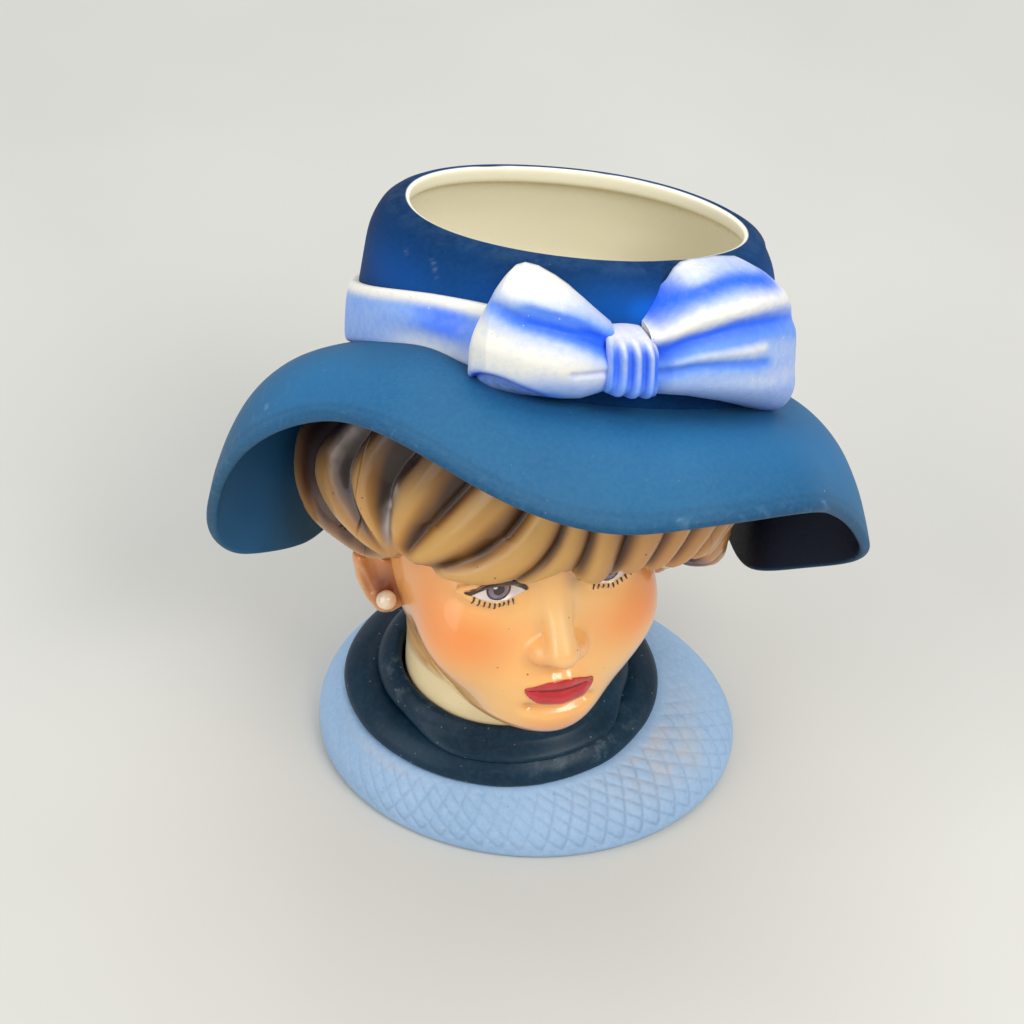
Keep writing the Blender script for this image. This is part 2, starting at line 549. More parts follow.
def build_crown():
    nu = 300
    phi = np.linspace(0, 360, nu, endpoint=False)
    rows = []           # t, a, b, extra, inside, lip
    out = curve_through([(0, 44.5, 38.6, -3.6), (0, 44.5, 38.5, 0), (0.15, 44.4, 38.3, 0), (0.3, 44.2, 38.0, 0), (0.45, 43.9, 37.7, 0), (0.6, 43.4, 37.2, 0),
                         (0.74, 42.9, 36.7, 0), (0.82, 42.3, 36.1, 0), (0.89, 41.3, 35.1, 0), (0.94, 40.2, 33.7, 0), (0.975, 38.7, 32.0, 0)], 46)
    rows += [tuple(r) + (0.0, 0.0) for r in out]
    for al in np.linspace(0.12, 1.0, 12) * math.pi:
        rows.append((0.985, 36.2 + 1.35 * math.cos(al), 29.5 + 1.35 * math.cos(al), 0.55 * math.sin(al), 1.0 if al > 2.3 else 0.0, 1.0 if 1.95 < al < 2.5 else 0.0))
    inn = curve_through([(0.97, 34.8, 28.1, 0), (0.92, 35.1, 28.4, 0), (0.895, 36.0, 29.5, 0), (0.84, 37.2, 31.0, 0), (0.72, 39.0, 32.8, 0), (0.6, 39.9, 33.7, 0), (0.5, 40.1, 34.0, 0),
                         (0.44, 39.7, 33.5, 0), (0.40, 39.5, 33.3, 0), (0.3, 40.5, 34.4, 0), (0.12, 41.0, 34.9, 0), (0, 41.1, 35.1, 0), (0, 41.0, 35.2, -4.4)], 44)
    rows += [tuple(r) + (1.0, 0.0) for r in inn]
    rows.append((0, 41.4, 35.6, -4.4, 0.0, 0.0))
    rows.append((0, 43.4, 37.4, -4.2, 0.0, 0.0))
    rows = np.array(rows)
    nv = len(rows)
    o, m = crown_frames(rows[:, 0])
    P, R = np.meshgrid(phi, np.arange(nv), indexing="ij")
    pr = np.radians(P)
    # hand-made unevenness: the wall waves a little and the mouth isn't a true oval
    wob = 0.35 * np.sin(2 * pr + 0.6) + 0.25 * np.sin(3 * pr + 2.1) + 0.15 * np.sin(5 * pr) - 1.5 * np.exp(-((P - 88) / 32) ** 2) * (rows[R, 4] < 0.5) * smooth(0.99, 0.9, rows[R, 0])
    up = np.clip(rows[R, 0], 0, 1) ** 2
    rise = (0.45 * np.sin(pr * 2 + 1.0) + 0.3 * np.sin(pr * 3 + 0.3)) * up * 0.5
    a = rows[R, 1] + wob * up - 0.35 * up
    b = rows[R, 2] + wob * up - 0.35 * up
    local = np.stack([a * np.sin(pr), -b * np.cos(pr), rows[R, 3] + rise - 0.2 * up], -1)
    pts = o[R] + np.einsum("uvij,uvj->uvi", m[R], local)
    flat = pts.reshape(-1, 3)
    h = (rows[R, 0] * CROWN_RISE).ravel()
    ph = (((P + 180) % 360) - 180).ravel()
    inside, lip = rows[R, 4].ravel(), rows[R, 5].ravel()
    n1 = value_noise(flat, 5.0, 3)
    lipline = lip * smooth(-0.55, 0.15, n1 + 0.25) + (rows[R, 4].ravel() > 0.5) * 0
    inside_soft = np.clip(inside, 0, 1)
    patch = np.maximum.reduce([1.0 * bump_at(ph, h, (21, 27), (9, 4.5)), 0.6 * bump_at(ph, h, (16, 27), (18, 6)), 0.45 * bump_at(ph, h, (-12, 25), (22, 6)),
                               0.4 * bump_at(ph, h, (-52, 24), (26, 7)), 0.35 * bump_at(ph, h, (75, 26), (24, 7)), 0.3 * bump_at(180 - np.abs(ph), h, (0, 20), (60, 9))])
    patch *= 1 - inside
    wear = smooth(0.93, 0.985, rows[R, 0].ravel()) * (1 - inside) * 0.1
    q = np.stack([ph, h * 1.3], -1)
    scratch = 0.25 * stroke(q, [(-40.5, 40.5), (-38.6, 38.4), (-37.4, 36.0)], 0.3) * (1 - inside) * (h > 5)
    scratch += 0.15 * stroke(q, [(-52, 40.0), (-50.5, 39.2)], 0.4) * (1 - inside)
    pool = inside * (smooth(17.5, 15.0, h) * 0.55 + 0.5 * np.exp(-((h - 15.5) / 1.6) ** 2) + 0.55 * np.exp(-((h - 32.6) / 0.7) ** 2))
    return make("crown_visual", flat, grid_faces(nu, nv, True, True), MAT_CROWN,
                {"inside": inside_soft, "lip": lipline, "patch": patch, "wear": wear, "scratch": np.clip(scratch, 0, 1), "pool": np.clip(pool, 0, 1)},
                node="hat_crown")


# ------------------------------------------------------------------ hat brim
BRIM_KEYS = np.array([
    (12, 18.0, -52.0, 121.0, 0.55, 2.0), (26, 34.0, -50.0, 123.0, 0.55, 2.0), (37, 44.0, -45.0, 121.0, 0.55, 2.0),
    (48, 55.0, -37.0, 116.5, 0.58, 2.0), (58, 61.0, -28.0, 108.0, 0.62, 2.0), (68, 67.0, -20.0, 96.0, 0.66, 1.0),
    (79, 71.0, -13.0, 83.0, 0.68, 0.0), (90, 69.5, -9.0, 75.0, 0.70, -1.0), (102, 59.3, -6.0, 69.0, 0.72, -1.0),
    (114, 50.0, -3.0, 63.8, 0.90, 5.0), (130, 45.5, 9.0, 57.0, 0.95, 8.0), (152, 35.5, 40.0, 56.5, 0.75, 4.0),
    (180, 4.0, 57.0, 59.0, 0.60, 3.0), (208, -28.5, 41.0, 56.5, 0.75, 4.0), (230, -47.5, 6.0, 57.5, 0.95, 8.0),
    (244, -52.8, -6.0, 63.0, 0.95, 8.0), (255, -58.9, -13.5, 68.0, 0.94, 6.0), (263, -64.5, -17.0, 71.0, 0.88, 2.0),
    (270, -67.8, -20.0, 80.0, 0.86, 1.5), (278, -64.8, -21.6, 95.0, 0.84, 1.5), (287, -57.7, -24.0, 108.8, 0.78, 2.0),
    (297, -48.5, -28.0, 119.6, 0.62, 2.0), (308, -37.4, -33.5, 127.8, 0.54, 2.0), (320, -26.5, -42.0, 133.0, 0.50, 2.0),
    (333, -15.5, -47.0, 131.0, 0.50, 2.0), (353, 0.0, -52.0, 126.0, 0.55, 2.0)])


def brim_mid(nu=520, ns=64):
    """Middle surface of the brim, (nu, ns, 3), and the crown angle and the run from root to edge of each point."""
    m = len(BRIM_KEYS)
    keys = BRIM_KEYS.copy()
    keys[:, 0] -= 360.0 * np.arange(m) / m
    c = curve_through(keys, nu, closed=True)
    c = ring_smooth(c, 6)
    ang = c[:, 0] + 360.0 * np.arange(nu) / nu
    edge = c[:, 1:4]
    hx, hy, hz = HAT[:, 0], HAT[:, 1], HAT[:, 2]
    pr = np.radians(ang)
    # the root rides up the wall at the front left and dips at the left end, as the ribbon does
    lift = np.interp((ang + 180) % 360 - 180, [-180, -135, -108, -95, -84, -70, -50, -36, -29, -23, -14, -4, 180], [0, -1.5, -3.6, -4.2, -2.4, 2.0, 5.6, 7.6, 6.6, 4.0, 1.4, 0, 0])
    lift = ring_smooth(lift[:, None], 10)[:, 0]
    root = FOOT + 43.7 * np.sin(pr)[:, None] * hx - 37.7 * np.cos(pr)[:, None] * hy + lift[:, None] * hz
    out = edge - root
    flat = out - (out @ hz)[:, None] * hz
    bend = root + flat * c[:, 4:5] + hz * (c[:, 5:6] * 0.6)
    s = np.linspace(0, 1, ns)[None, :, None]
    p = root[:, None] * (1 - s) ** 2 + bend[:, None] * (2 * s * (1 - s)) + edge[:, None] * s ** 2
    return p, np.repeat(ang[:, None], ns, 1), np.repeat(np.linspace(0, 1, ns)[None], nu, 0)


def grid_normals(p, close_u=True):
    du = np.roll(p, -1, 0) - np.roll(p, 1, 0)
    if not close_u:
        du[0], du[-1] = p[1] - p[0], p[-1] - p[-2]
    dv = np.gradient(p, axis=1)
    n = np.cross(du, dv)
    return n / np.maximum(np.linalg.norm(n, axis=-1, keepdims=True), 1e-9)


def build_brim():
    p, ang, s = brim_mid()
    nu, ns, _ = p.shape
    n = grid_normals(p)
    if (n[:, ns // 4] @ HAT[:, 2]).mean() < 0:
        n = -n
    # hammered, hand-smoothed surface: slow swells and small dents
    swell = value_noise(p.reshape(-1, 3), 16.0, 5).reshape(nu, ns) * 0.28 + value_noise(p.reshape(-1, 3), 6.0, 9).reshape(nu, ns) * 0.07
    pm = p + n * (swell * smooth(0.05, 0.3, s))[..., None]
    half = 1.5 * (1 - 0.22 * s)
    # fillet of slip at the root
    root_fill = 1.3 * np.exp(-s / 0.045)
    top = pm + n * (half + root_fill)[..., None]
    low = pm - n * half[..., None]
    # rounded edge
    along = p[:, -1] - p[:, -2]
    along /= np.linalg.norm(along, axis=-1, keepdims=True)
    he = half[:, -1:]
    arc = [pm[:, -1] + n[:, -1] * he * math.cos(al) + along * he * 1.0 * math.sin(al) for al in np.linspace(0, math.pi, 11)[1:-1]]
    pts = np.concatenate([top, np.stack(arc, 1), low[:, ::-1]], 1)
    nv = pts.shape[1]
    k = np.arange(nv)
    under = np.repeat(smooth(ns + 4, ns + 9, k.astype(float))[None], nu, 0)
    run = np.concatenate([s, np.ones((nu, 9)), s[:, ::-1]], 1)
    a = np.concatenate([ang, np.repeat(ang[:, -1:], 9, 1), ang], 1)
    flat = pts.reshape(-1, 3)
    a = ((a + 180) % 360 - 180).ravel()
    run, under = run.ravel(), under.ravel()
    rim = np.clip(smooth(0.955, 1.0, run) * (1 - under) + np.repeat(((k >= ns) & (k < ns + 9)).astype(float)[None], nu, 0).ravel(), 0, 1)
    bright = 0.35 * bump_at(a, run, (20, 0.4), (55, 0.35)) + 0.5 * bump_at(a, run, (-62, 0.75), (22, 0.35)) + 0.6 * bump_at(a, run, (66, 0.6), (24, 0.4))
    dark = smooth(48, 74, a) * smooth(180, 130, np.abs(a)) + 0.35 * smooth(0.5, 0.1, run)
    dusty = smooth(-60, -92, a) * smooth(-178, -125, a) * smooth(0.35, 0.95, run) * 0.8 + 0.12 * np.exp(-((run - 0.97) / 0.05) ** 2) + 0.35 * smooth(100, 160, np.abs(a))
    shade = (0.65 + 0.3 * smooth(-14, -30, a) * smooth(-130, -100, a)) * np.exp(-run / 0.085) + 0.4 * smooth(0.95, 1.0, run) * smooth(-90, -50, a) + 0.25 * bump_at(a, run, (-40, 0.25), (26, 0.3)) + 0.18 * bump_at(a, run, (62, 0.25), (20, 0.3))
    q = np.stack([a, run * 45], -1)
    chip = 0.4 * stroke(q, [(22.8, 44.5), (23.8, 44.7)], 0.3) + 0.25 * stroke(q, [(52.0, 44.4), (53.0, 44.6)], 0.4) + 0.3 * stroke(q, [(-70.0, 37), (-69.2, 38.6)], 0.3)
    line = np.exp(-((run - 0.945) / 0.012) ** 2) * (1 - under)
    scuff = np.clip(bump_at(a, run, (-80, 0.8), (14, 0.28)) + 0.7 * bump_at(a, run, (-100, 0.5), (10, 0.3)) + 0.5 * bump_at(a, run, (96, 0.8), (12, 0.25)), 0, 1)
    return make("brim_visual", flat, grid_faces(nu, nv, True, True), MAT_BRIM,
                {"under": under, "rim": rim, "bright": np.clip(bright, 0, 1) * (1 - under), "dusty": np.clip(dusty, 0, 1), "shade": np.clip(shade + 0.3 * line, 0, 1), "dark": np.clip(dark, 0, 1),
                 "chip": np.clip(chip, 0, 1) * (1 - under), "scuff": scuff * (1 - under)}, node="hat_brim")


# ------------------------------------------------------------------ ribbon round the crown
def build_band():
    nu = 420
    phi = np.linspace(-180, 180, nu, endpoint=False)
    loop = curve_through([(3.0, -0.5), (2.9, 0.9), (3.5, 1.75), (5.2, 2.05), (8.6, 2.15), (12.2, 2.05), (14.1, 1.8), (14.8, 1.0), (14.7, -0.5)], 44)
    nv = len(loop)
    P, R = np.meshgrid(phi, np.arange(nv), indexing="ij")
    pr = np.radians(P)
    h0 = loop[R, 0]
    low = np.interp(phi, [-180, -140, -110, -92, -77.5, -59, -44.5, -35, -28, -22, -10, 40, 66, 80, 110, 180], [3.0, 2.4, 0.2, 0.0, 2.6, 5.6, 8.4, 9.2, 8.4, 7.4, 7.0, 7.0, 5.4, 3.6, 3.0, 3.0])
    top = np.interp(phi, [-180, -140, -110, -90, -67.5, -50.5, -38.5, -28, -20, 0, 40, 66, 80, 110, 180], [14.8, 14.8, 14.6, 14.9, 18.4, 21.6, 23.6, 24.4, 24.6, 23.5, 21, 18.4, 16.5, 15.0, 14.8])
    low, top = ring_smooth(low[:, None], 6)[:, 0][:, None], ring_smooth(top[:, None], 6)[:, 0][:, None]
    h = low + (top - low) * (h0 - 2.9) / 11.9 + 0.25 * np.sin(3 * pr + 1) * smooth(2, 14, h0)
    off = loop[R, 1]
    # soft folds where the ribbon gathers towards the bow
    gather = np.exp(-((P + 34) / 18) ** 2) + np.exp(-((P - 76) / 18) ** 2)
    off = off + (off > 0.5) * gather * 0.35 * np.cos((h0 - 7.5) * 0.75 + P * 0.03)
    pts = crown_wall(P, h, off).reshape(-1, 3)
    hh, ph = h0.ravel(), P.ravel()
    n = value_noise(pts, 9.0, 12)
    low_right = np.exp(-((ph + 34) / 16) ** 2) * smooth(9.5, 3.5, hh)
    peri = smooth(13.9, 11.8, hh) * (0.92 + 0.1 * n)
    peri = peri * (1 - 0.75 * low_right) * (1 - 0.35 * smooth(4.0, 2.6, hh))
    blue = np.exp(-((ph + 31) / 9) ** 2) * smooth(6.0, 9.0, hh) * smooth(13.6, 11.6, hh) * 0.75 + np.exp(-((ph - 74) / 9) ** 2) * smooth(5, 8, hh) * smooth(13.5, 11, hh) * 0.7
    return make("band_visual", pts, grid_faces(nu, nv, True, True), MAT_RIBBON,
                {"peri": np.clip(peri, 0, 1), "blue": np.clip(blue, 0, 1), "grime": 0.4 * smooth(3.8, 3.0, hh)}, node="hat_band")


# ------------------------------------------------------------------ foot and shoulders
BASE_OUT = [(0.0, 0.0, 0.0, 48.2, 39.5), (0.25, 0.0, 0.0, 49.0, 40.2), (1.0, 0.0, 0.0, 49.8, 40.8), (2.0, 0.0, 0.0, 50.0, 41.0), (4.0, -0.5, 0.05, 49.5, 40.8),
            (6.0, -1.2, 0.1, 48.6, 40.2), (8.0, -2.2, 0.3, 46.9, 39.1), (10.0, -3.4, 0.5, 44.6, 37.6), (12.0, -4.8, 0.75, 41.6, 35.7), (13.6, -6.0, 0.95, 38.6, 33.8)]


def build_base():
    nu = 1000
    out = curve_through(BASE_OUT, 78)
    rows = [tuple(r) for r in out]
    n_out = len(rows)
    rows += [(14.0, -6.2, 1.0, 37.6, 33.0), (14.0, -6.0, 0.3, 30.0, 26.5), (14.0, -5.8, -0.4, 21.4, 19.4), (13.6, -5.8, -0.4, 20.8, 18.8), (11.4, -5.8, -0.4, 20.8, 18.8)]
    rows += [(10.8, -6.3, 1.0, 34.4, 29.8), (6.8, -3.4, 0.5, 41.0, 34.0), (4.6, -1.2, 0.1, 44.6, 36.4), (4.0, -1.0, 0.1, 43.6, 35.4), (4.0, -1.0, 0.1, 20.0, 16.0), (4.0, -1.0, 0.1, 0.4, 0.4)]
    # the underside closes with a shallow recess inside a foot ring
    under = [(0.0, 0.0, 0.0, 46.0, 37.4), (0.0, 0.0, 0.0, 45.2, 36.7), (0.5, 0.0, 0.0, 44.4, 36.0), (0.6, 0.0, 0.0, 30.0, 24.0), (0.6, 0.0, 0.0, 0.4, 0.4)]
    rows = [tuple(r) for r in under[::-1]] + rows
    first = len(under)
    rows = np.array(rows)
    nv = len(rows)
    P, R = np.meshgrid(np.linspace(0, TAU, nu, endpoint=False), np.arange(nv), indexing="ij")
    r = rows[R]
    pts = np.stack([r[..., 1] + r[..., 3] * np.sin(P), r[..., 2] - r[..., 4] * np.cos(P), r[..., 0]], -1)
    n = grid_normals(pts)
    mid = first + n_out // 2
    if (n[:, mid] * (pts[:, mid] - np.array([-2, 0, 7]))).sum(-1).mean() < 0:
        n = -n
    # quilting: two crossing families of scored lines on the slope
    step = np.linalg.norm(np.diff(pts, axis=1), axis=-1)
    slope = np.concatenate([np.zeros((nu, 1)), np.cumsum(step, 1)], 1)
    slope = slope - slope[:, first + 8][:, None]
    arc_p = pts[:, first + 30]
    seg = np.linalg.norm(np.roll(arc_p, -1, 0) - arc_p, axis=-1)
    arc = np.concatenate([[0], np.cumsum(seg)[:-1]])
    total = seg.sum()
    count = round(total / 4.8)
    u = arc / total * count
    v = slope / 6.4
    jig = 0.10 * value_noise(pts.reshape(-1, 3), 9.0, 21).reshape(nu, nv)
    l1 = u[:, None] + v + jig
    l2 = u[:, None] - v - jig * 0.8
    d1 = np.abs(l1 - np.round(l1)) * 3.7
    d2 = np.abs(l2 - np.round(l2)) * 3.7
    phi = np.degrees(P)
    ph = (phi + 180) % 360 - 180
    on = np.zeros((nu, nv))
    on[:, first + 6:first + n_out] = 1.0
    on *= smooth(2.0, 3.6, r[..., 0]) * smooth(13.9, 13.0, r[..., 0])
    worn = 0.62 + 0.38 * value_noise(pts.reshape(-1, 3), 14.0, 31).reshape(nu, nv)
    one_way = smooth(-28, -62, ph) * smooth(-170, -120, ph)
    show = 0.22 + 0.78 * smooth(-62, -22, ph) * smooth(112, 70, ph)
    g1 = np.exp(-(d1 / 0.3) ** 2) * on * worn * show
    g2 = np.exp(-(d2 / 0.3) ** 2) * on * worn * show * (1 - 0.85 * one_way)
    pillow = (np.cos(np.pi * np.clip(d1 / 1.85, 0, 1)) + np.cos(np.pi * np.clip(d2 / 1.85, 0, 1)) * (1 - 0.85 * one_way)) * on * 0.07 * show
    groove = np.maximum(g1, g2)
    soft = value_noise(pts.reshape(-1, 3), 12.0, 8).reshape(nu, nv) * 0.12 * on
    pts = pts - n * (groove * 0.3 + pillow - soft)[..., None]
    dirt = np.clip(np.exp(-(((ph - 62) / 26) ** 2)) * smooth(5.0, 11.5, r[..., 0]) * 0.85 + np.exp(-(((ph + 45) / 18) ** 2)) * smooth(11.0, 13.5, r[..., 0]) * 0.4, 0, 1) * on
    foot = np.zeros((nu, nv))
    foot[:, :first] = 1.0
    foot = np.maximum(foot, smooth(0.35, 0.05, r[..., 0]))
    inner = np.zeros((nu, nv))
    inner[:, first + n_out + 3:] = 1.0
    foot = np.maximum(foot, inner)
    shade = np.clip(groove * 0.55, 0, 1)
    verts = np.vstack([pts.reshape(-1, 3), pts[:, 0].mean(0), pts[:, -1].mean(0)])
    faces = [grid_faces(nu, nv, True, False)]
    k = np.arange(0, nu, 2)
    for row, mid, order in ((0, nu * nv, 1), (nv - 1, nu * nv + 1, -1)):
        fan = np.stack([k * nv + row, (k + 1) % nu * nv + row, (k + 2) % nu * nv + row, np.full(len(k), mid)], -1)
        faces.append(fan[:, ::-order])
    ends = {"line": (0.0, 0.0), "dirt": (0.0, 0.0), "foot": (1.0, 1.0)}
    att = {key: np.concatenate([val.ravel(), ends[key]]) for key, val in (("line", shade), ("dirt", dirt), ("foot", foot))}
    return make("base_visual", verts, np.concatenate(faces), MAT_BASE, att, node="shoulder_base")


# ------------------------------------------------------------------ roll collar
def build_roll(name, node, prof, seed, dust_at, spread=0.0):
    nu = 300
    c = curve_through(prof, 60, closed=True)
    nv = len(c)
    P, R = np.meshgrid(np.linspace(0, TAU, nu, endpoint=False), np.arange(nv), indexing="ij")
    r = c[R]
    pts = np.stack([r[..., 1] + r[..., 3] * np.sin(P), r[..., 2] - r[..., 4] * np.cos(P), r[..., 0]], -1)
    n = grid_normals(pts)
    cen = np.stack([-6 + (r[..., 3].mean()) * np.sin(P), -(r[..., 4].mean()) * np.cos(P), np.full_like(P, prof[0][0] + 2.5)], -1)
    if (n * (pts - cen)).sum(-1).mean() < 0:
        n = -n
    lump = value_noise(pts.reshape(-1, 3), 13.0, seed).reshape(nu, nv) * 0.32 + value_noise(pts.reshape(-1, 3), 5.0, seed + 3).reshape(nu, nv) * 0.06
    pts = pts + n * lump[..., None]
    pts[..., 2] = np.maximum(pts[..., 2], prof[0][0])
    ph = (np.degrees(P) + 180) % 360 - 180
    if spread:
        push = spread * smooth(-48, -12, ph) * smooth(80, 50, ph) * smooth(prof[0][0] + 3.6, prof[0][0] + 0.4, r[..., 0]) * smooth(0.0, 0.5, (n * (pts - cen)).sum(-1) * 0 + (r[..., 3] - 25.5) / 3.0)
        pts[..., 0] += push * np.sin(P)
        pts[..., 1] -= push * np.cos(P)
    dust = 0.45 * np.clip(np.exp(-((ph - dust_at) / 26) ** 2) * smooth(0.2, 0.9, n[..., 2]), 0, 1) + 0.04
    return make(name, pts.reshape(-1, 3), grid_faces(nu, nv, True, True), MAT_COLLAR, {"dust": dust}, node=node)


LOWER_ROLL = [(14.0, -6.3, 0.8, 33.0, 29.0), (14.0, -6.4, 1.0, 36.2, 32.0), (15.2, -6.4, 1.0, 37.2, 33.0), (17.0, -6.3, 0.9, 36.8, 32.6), (18.6, -6.25, 0.7, 35.0, 31.0),
              (19.8, -6.2, 0.5, 32.6, 28.9), (20.1, -6.1, 0.3, 30.2, 26.9), (19.6, -6.0, 0.0, 27.6, 24.9), (18.4, -5.8, -0.3, 25.2, 23.0), (16.0, -5.8, -0.4, 24.5, 22.5), (14.0, -5.8, -0.4, 24.5, 22.5), (14.0, -6.0, 0.2, 28.0, 25.0)]
UPPER_ROLL = [(20.0, -6.0, 0.0, 26.6, 24.0), (20.2, -6.0, 0.1, 28.6, 25.5), (21.6, -6.0, 0.0, 29.5, 26.3), (23.2, -5.95, -0.1, 29.1, 25.9), (24.8, -5.9, -0.2, 27.8, 24.9),
              (25.9, -5.8, -0.3, 26.0, 23.5), (25.8, -5.6, -0.4, 24.6, 22.4), (24.4, -5.6, -0.5, 24.0, 22.0), (22.0, -5.7, -0.5, 23.9, 21.9), (20.4, -5.8, -0.4, 24.4, 22.3)]


# ------------------------------------------------------------------ skull and hair surfaces
HEAD_LEVELS = np.array([(-4, 2, 45.5, 23.4, 22, 0), (-1.6, 1.4, 40.6, 23.4, 26.9, .10), (.6, .7, 35.6, 23, 31.6, .24), (4, .3, 34.2, 22.8, 33.2, .30),
                        (10, 0, 34.2, 24, 33.7, .26), (18, 0, 34.6, 25.6, 34.2, .18), (26, 0, 35, 27.2, 34.8, .11), (35, 0, 35.6, 28.6, 35, .06), (43, 0, 36.2, 31.2, 34.8, .03)])
HAIR_LEVELS = np.array([(0, 0, 46, 24.0, 22.6, 0), (10, 0, 46, 26.5, 25, 0), (18, 0, 45, 30, 28.5, 0), (26, 0, 42.5, 34, 33, 0), (31.2, 0, 41, 38, 35.5, 0), (37, 0, 39, 42.5, 38.6, 0), (43, 0, 36.8, 46, 41.6, 0)])
SKULL_BLEND = np.array([(0, 31.2, 34.8), (.33, 36.2, 35.6), (.66, 38.8, 35), (1, 39.2, 33.8)])
HAIR_BLEND = np.array([(0, 46.0, 41.6), (.33, 48.6, 43.6), (.66, 47.8, 42.8), (1, 45.2, 39.8)])
BROW_LOW = from_head([0, 36.2, 43.0])
BROW_HIGH = FOOT - HAT[:, 2] * CROWN_DROP
SPAN = 37.0


def oval(x, y, a, b):
    """Distance-like value of an oval, negative inside."""
    k0 = np.sqrt((x / a) ** 2 + (y / b) ** 2) + 1e-9
    k1 = np.sqrt((x / a ** 2) ** 2 + (y / b ** 2) ** 2) + 1e-9
    return k0 * (k0 - 1) / k1


def ring_level(q, table, shrink=0.0):
    h = q[..., 2]
    cx, cd, a, b, nar = (np.interp(h, table[:, 0], table[:, k]) for k in range(1, 6))
    a, b = a - shrink, b - shrink
    v = np.clip((q[..., 1] - cd) / b, -1.6, 1.6)
    return oval((q[..., 0] - cx) / (1 + nar * v), q[..., 1] - cd, a, b)


def brow_level(p, table, shrink=0.0):
    d0 = (p - BROW_LOW) @ HEAD[:, 2]
    d1 = (p - BROW_HIGH) @ HAT[:, 2]
    t = np.clip(d0 / np.maximum(d0 - d1, 1e-6), 0, 1)
    a = np.interp(t, table[:, 0], table[:, 1]) - shrink
    b = np.interp(t, table[:, 0], table[:, 2]) - shrink
    r = p - (BROW_LOW + (BROW_HIGH - BROW_LOW) * t[..., None])
    ux, uy = (r @ HEAD[:, 0]) * (1 - t) + (r @ HAT[:, 0]) * t, (r @ HEAD[:, 1]) * (1 - t) + (r @ HAT[:, 1]) * t
    return oval(ux, uy, a, b)


def skull_surface(p, shrink=0.0):
    q = to_head(p)
    w = smooth(41.0, 45.0, q[..., 2])
    return ring_level(q, HEAD_LEVELS, shrink) * (1 - w) + brow_level(p, SKULL_BLEND, shrink) * w


def hair_surface(p):
    q = to_head(p)
    w = smooth(41.0, 45.0, q[..., 2])
    return ring_level(q, HAIR_LEVELS) * (1 - w) + brow_level(p, HAIR_BLEND) * w


def hair_point(theta, level):
    """Point on the outside of the hair: angle (0 = front, + = right) and level above the chin."""
    th = np.radians(np.asarray(theta, float))
    lv = np.asarray(level, float)
    low = np.minimum(lv, 43.0)
    t = np.clip((lv - 43.0) / SPAN, 0, 1)
    cx, cd, a, b = (np.interp(low, HAIR_LEVELS[:, 0], HAIR_LEVELS[:, k]) for k in range(1, 5))
    q = np.stack([cx + a * np.sin(th), cd - b * np.cos(th), low], -1)
    p_low = from_head(q)
    a2 = np.interp(t, HAIR_BLEND[:, 0], HAIR_BLEND[:, 1])
    b2 = np.interp(t, HAIR_BLEND[:, 0], HAIR_BLEND[:, 2])
    o = BROW_LOW + (BROW_HIGH - BROW_LOW) * t[..., None]
    m = HEAD * (1 - t[..., None, None]) + HAT * t[..., None, None]
    p_high = o + m[..., :, 0] * (a2 * np.sin(th))[..., None] - m[..., :, 1] * (b2 * np.cos(th))[..., None]
    return np.where((lv > 43.0)[..., None], p_high, p_low)


# ------------------------------------------------------------------ bow on the ribbon
def bow_wall(phi, h, off):
    """Like crown_wall, on a straight wall that doesn't turn in at the lip."""
    phi, h, off = np.broadcast_arrays(np.asarray(phi, float), np.asarray(h, float), np.asarray(off, float))
    t = h / CROWN_RISE
    tip = np.radians(FOOT_TIP + (MOUTH_TIP - FOOT_TIP) * t)
    lean = np.radians(FOOT_LEAN + (MOUTH_LEAN - FOOT_LEAN) * t)
    a, b = 44.5 - 2.6 * t + off, 38.5 - 3.0 * t + off
    x, y = a * np.sin(np.radians(phi)), -b * np.cos(np.radians(phi))
    y1, z1 = y * np.cos(tip), -y * np.sin(tip)
    x2, z2 = x * np.cos(lean) + z1 * np.sin(lean), -x * np.sin(lean) + z1 * np.cos(lean)
    return FOOT + (MOUTH - FOOT) * t[..., None] + np.stack([x2, y1, z2], -1)


def line_at(pts, x):
    p = np.asarray(pts, float)
    c = curve_through(p, 12 * len(p))
    return np.interp(x, c[:, 0], c[:, 1])


def fold(phi, h, pts, width):
    return stroke(np.stack([phi.ravel() * 0.82, h.ravel()], -1), curve_through(np.asarray(pts, float) * (0.82, 1.0), 8 * len(pts)), width).reshape(phi.shape)


def pillow(name, node, phi, h, off, back, attrs):
    """Closed solid between a front sheet and a back sheet on the crown's wall; rows run along the bow."""
    nu, nv = phi.shape
    front = bow_wall(phi, h, off)
    rear = bow_wall(phi, h, np.minimum(back, off - 0.05))
    pts = np.concatenate([front, rear[:, ::-1]], 1)
    faces = grid_faces(nu, 2 * nv, False, True)
    caps = []
    for i in (0, nu - 1):
        k = np.arange(nv - 1)
        a, b, c, d = i * 2 * nv + k, i * 2 * nv + k + 1, i * 2 * nv + 2 * nv - 2 - k, i * 2 * nv + 2 * nv - 1 - k
        q = np.stack([a, b, c, d], -1)
        caps.append(q[:, ::-1] if i == 0 else q)
    faces = np.concatenate([faces] + caps)
    full = {key: np.concatenate([val, val[:, ::-1]], 1) for key, val in attrs.items()}
    return make(name, pts.reshape(-1, 3), faces, MAT_RIBBON, full, node=node)


def edge_round(v, power=4.0):
    return np.sqrt(np.clip(1 - np.abs(2 * v - 1) ** power, 0, 1))


